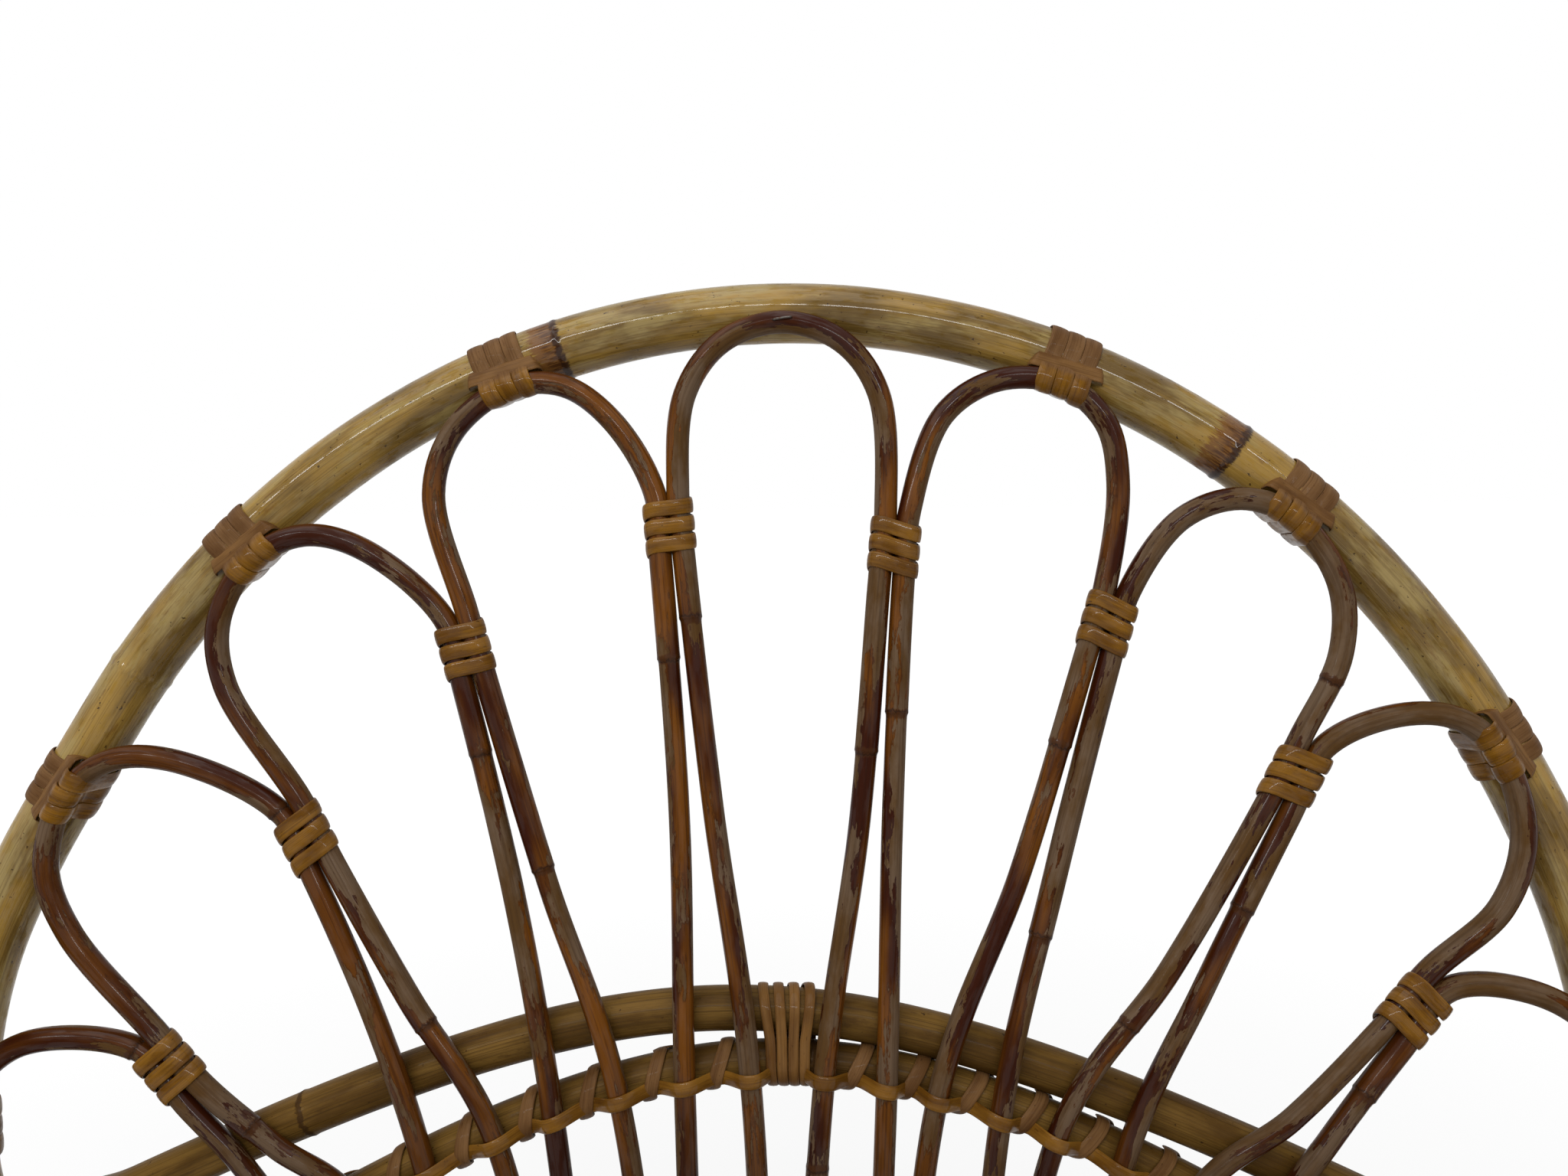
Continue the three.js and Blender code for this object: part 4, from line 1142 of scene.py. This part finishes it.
def arm_line(side):
    """An arm pole from the floor to its end on the hoop."""
    beside = seat_curve(FRONT_LEG_TURN)
    power = 2 - 2 / SEAT_ROUNDNESS
    out_x = cos(FRONT_LEG_TURN) ** power / SEAT_HALF
    out_y = -sin(FRONT_LEG_TURN) ** power / seat_reach
    out = Vector((out_x, out_y)).normalized() * (RAIL / 2 + POLE / 2 + 2 * GAP)
    leg_x = beside.x + out.x
    leg_y = beside.y + out.y
    end = hoop_spot(side * ARM_ANGLE) + OUT * (POLE / 2 + 5 * GAP)
    near = end + OUT * ARM_STUB
    flare = ARM_SPREAD - leg_x
    rise = ARM_HEIGHT - RAIL_HEIGHT
    run = near.y - leg_y
    knots = [
        (leg_x + FRONT_FOOT_OUT, leg_y, 0),
        (leg_x + FRONT_FOOT_OUT * CALF_OUT, leg_y, RAIL_HEIGHT * CALF_HEIGHT),
        (leg_x, leg_y, RAIL_HEIGHT),
    ]
    knots += [(leg_x + flare * a, leg_y + run * b, RAIL_HEIGHT + rise * c) for a, b, c in ARM_BENDS]
    return bend([*(Vector((side * x, y, z)) for x, y, z in knots), near, end], POLE_STEP)


front_legs = {-1: arm_line(-1), 1: arm_line(1)}
for side, name in ((-1, "left"), (1, "right")):
    rings = [(0.2 - side * 0.04, 1.0), (0.55, 1.0), (0.86 + side * 0.03, 1.0)]
    line = past_floor(front_legs[side])
    arm = rattan(f"arm_pole_{name}", line, POLE, POLE_FINISH, POLE_SIDES, rings, STRAY, run=14.0 + side)
    stand_level(arm)
    fit(arm, "pole", f"arm_{name}")


# Aprons: arches of thinner pole between the legs, their crowns under the rails, their ends against the legs.
APRON = 0.016
APRON_LOW = 0.045
APRON_SPRING = 0.125
APRON_KNOTS = 7
APRON_SIDES = 20
APRON_STRAY = 0.014
SPRING_AIR = 15 * GAP
LOW_AIR = 3 * GAP
apron_crown = RAIL_HEIGHT - RAIL / 2 - GAP - APRON / 2


def apron_line(leg_a, leg_b, crown):
    """An arch that springs from two legs and rises to its crown."""
    def foot(leg, other, z, air):
        spot = at_height(leg, z)
        way = at_height(other, z) - spot
        way.z = 0
        return spot + way.normalized() * (POLE / 2 + APRON / 2 + air)

    spring_a = foot(leg_a, leg_b, APRON_SPRING, SPRING_AIR)
    spring_b = foot(leg_b, leg_a, APRON_SPRING, SPRING_AIR)
    bulge = crown - spring_a.lerp(spring_b, 0.5)
    rise = []
    for i in range(APRON_KNOTS):
        share = (1 - cos(pi * (i + 1) / (APRON_KNOTS + 1))) / 2
        height = 4 * share * (1 - share)
        point = spring_a.lerp(spring_b, share)
        point += Vector((bulge.x * height, bulge.y * height, 0))
        point.z = APRON_SPRING + (crown.z - APRON_SPRING) * height
        rise.append(point)
    low_a = foot(leg_a, leg_b, APRON_LOW, LOW_AIR)
    low_b = foot(leg_b, leg_a, APRON_LOW, LOW_AIR)
    return bend([low_a, spring_a, *rise, spring_b, low_b], POLE_STEP)


front_crown = Vector((0, seat_middle - seat_reach, apron_crown))
rear_crown = Vector((0, rail_centre.y, rail_centre.z - RAIL_HEIGHT + apron_crown))
aprons = {
    "front": apron_line(front_legs[-1], front_legs[1], front_crown),
    "rear": apron_line(rear_legs[-1], rear_legs[1], rear_crown),
}
for name, side in (("left", -1), ("right", 1)):
    foot_y = rear_legs[side][0 if side < 0 else -1].y
    middle = (front_legs[side][0].y + foot_y) / 2
    crown = Vector((side * SEAT_HALF, max(middle, seat_middle), apron_crown))
    aprons[name] = apron_line(front_legs[side], rear_legs[side], crown)
for i, (name, row) in enumerate(aprons.items()):
    rings = [(0.17 + 0.03 * i, 1.0), (0.5 - 0.04 * i, 0.98), (0.7, 1.0)]
    apron = rattan(f"apron_bow_{name}", row, APRON, ARCH_FINISH, APRON_SIDES, rings, APRON_STRAY,
                   run=20.0 + i)
    fit(apron, "arch", f"apron_{name}")


# Leg ties: three turns of peel round each leg and the ends of the two aprons that stand against it.
LEG_TIE_HEIGHT = (APRON_LOW + APRON_SPRING) / 2
LEG_TIE_HALF = 0.015
CORNERS = (("front", "left"), ("front", "right"), ("rear", "left"), ("rear", "right"))
for end, name in CORNERS:
    side = -1 if name == "left" else 1
    leg = front_legs[side] if end == "front" else rear_legs[side]
    centre = at_height(leg, LEG_TIE_HEIGHT)
    above = at_height(leg, LEG_TIE_HEIGHT + LEG_TIE_HALF)
    axis = (above - at_height(leg, LEG_TIE_HEIGHT - LEG_TIE_HALF)).normalized()
    ex = (Vector((1, 0, 0)) - axis * axis.x).normalized()
    ey = axis.cross(ex)
    bundle = [(0.0, 0.0, POLE / 2 + GAP + PEEL_THICK / 2)]
    for row in (aprons[end], aprons[name]):
        ups = zip(row, row[1:])
        level = [a for a, b in ups if (a.z - LEG_TIE_HEIGHT) * (b.z - LEG_TIE_HEIGHT) <= 0]
        spot = min(level, key=lambda p: (p - centre).length) - centre
        bundle.append((spot.dot(ex), spot.dot(ey), APRON / 2 + 4 * GAP + PEEL_THICK / 2))
    strip = wound(centre, ex, ey, lambda at: bundle, TIE_TURNS, PEEL_PITCH)
    tie = peel(f"leg_peel_{end}_{name}", strip, sheen=0.5, run=60.0 + len(end) + side)
    fit(tie, "peel", f"leg_tie_{end}_{name}")


# Studio: a plain pale floor, a soft room light, a long lamp high in front and a soft box above.
FLOOR_HALF = 6.0
FLOOR_GREY = 0.86
FLOOR_GLOW = 1.05
SHADOW_REACH = (0.7, 2.2)
SHADOW_SHARE = 0.22
ROOM_LIGHT = 0.33
WHITE = (1.0, 1.0, 1.0, 1.0)
CAMERA_PLACE = Vector((0.02412, -0.31767, 0.96634))
CAMERA_TURN = (77.537, 0.913, 1.847)
CAMERA_LENS = 27.07


def seen_by(start):
    """1 for rays that show a surface to the camera, straight or by reflection, and 0 for the rest."""
    rays = start.node("ShaderNodeLightPath")
    seen = start.maths("MAXIMUM", rays["Is Camera Ray"], rays["Is Glossy Ray"])
    return start.maths("MAXIMUM", seen, rays["Is Transmission Ray"])


def floor_finish():
    """White to the camera and in reflections, with a faint shadow left round the chair."""
    grey = (FLOOR_GREY, FLOOR_GREY, FLOOR_GREY, 1.0)
    finish, start, shader = new_finish("pale floor", Base_Color=grey, Roughness=0.9)
    seen = seen_by(start)
    white = start.node("ShaderNodeEmission", {"Color": WHITE, "Strength": FLOOR_GLOW})
    place = start.node("ShaderNodeTexCoord")["Object"]
    reach = start.node("ShaderNodeVectorMath", {0: place}, operation="LENGTH")["Value"]
    share = seen * (reach.between(*SHADOW_REACH) * SHADOW_SHARE + (1 - SHADOW_SHARE))
    mixed = start.node("ShaderNodeMixShader", {0: share, 1: Flow(finish.node_tree, shader), 2: white})
    mixed.join(finish.node_tree.nodes["Material Output"].inputs["Surface"])
    return finish


floor_mesh = bpy.data.meshes.new("floor")
corners = [(x * FLOOR_HALF, y * FLOOR_HALF, 0.0) for x, y in ((-1, -1), (1, -1), (1, 1), (-1, 1))]
floor_mesh.from_pydata(corners, [], [(0, 1, 2, 3)])
floor_mesh.materials.append(floor_finish())
add("floor", floor_mesh)

world = bpy.data.worlds.new("room")
bpy.context.scene.world = world
world.use_nodes = True
background = world.node_tree.nodes["Background"]
background.inputs["Color"].default_value = WHITE
level = seen_by(Flow(world.node_tree)) * (1.0 - ROOM_LIGHT) + ROOM_LIGHT
level.join(background.inputs["Strength"])


def lamp(name, place, aim, wide, tall, power):
    """A rectangular area lamp that looks at a point."""
    light = bpy.data.lights.new(name, "AREA")
    light.shape = "RECTANGLE"
    light.size = wide
    light.size_y = tall
    light.energy = power
    made = add(name, light)
    made.location = place
    made.rotation_euler = (Vector(aim) - Vector(place)).to_track_quat("-Z", "Y").to_euler()


lamp("long_lamp", (-0.3, -1.8, 2.5), (0.0, 0.25, 0.8), 4.0, 0.14, 38)
lamp("soft_box", (-0.5, -0.2, 3.0), (0.0, 0.1, 0.4), 2.2, 2.2, 26)

view = bpy.data.cameras.new("camera")
view.sensor_width = 36.0
view.lens = CAMERA_LENS
view.clip_start = 0.01
camera = add("camera", view)
camera.location = CAMERA_PLACE
camera.rotation_euler = [radians(turn) for turn in CAMERA_TURN]
bpy.context.scene.camera = camera
bpy.context.scene.view_settings.view_transform = "Standard"
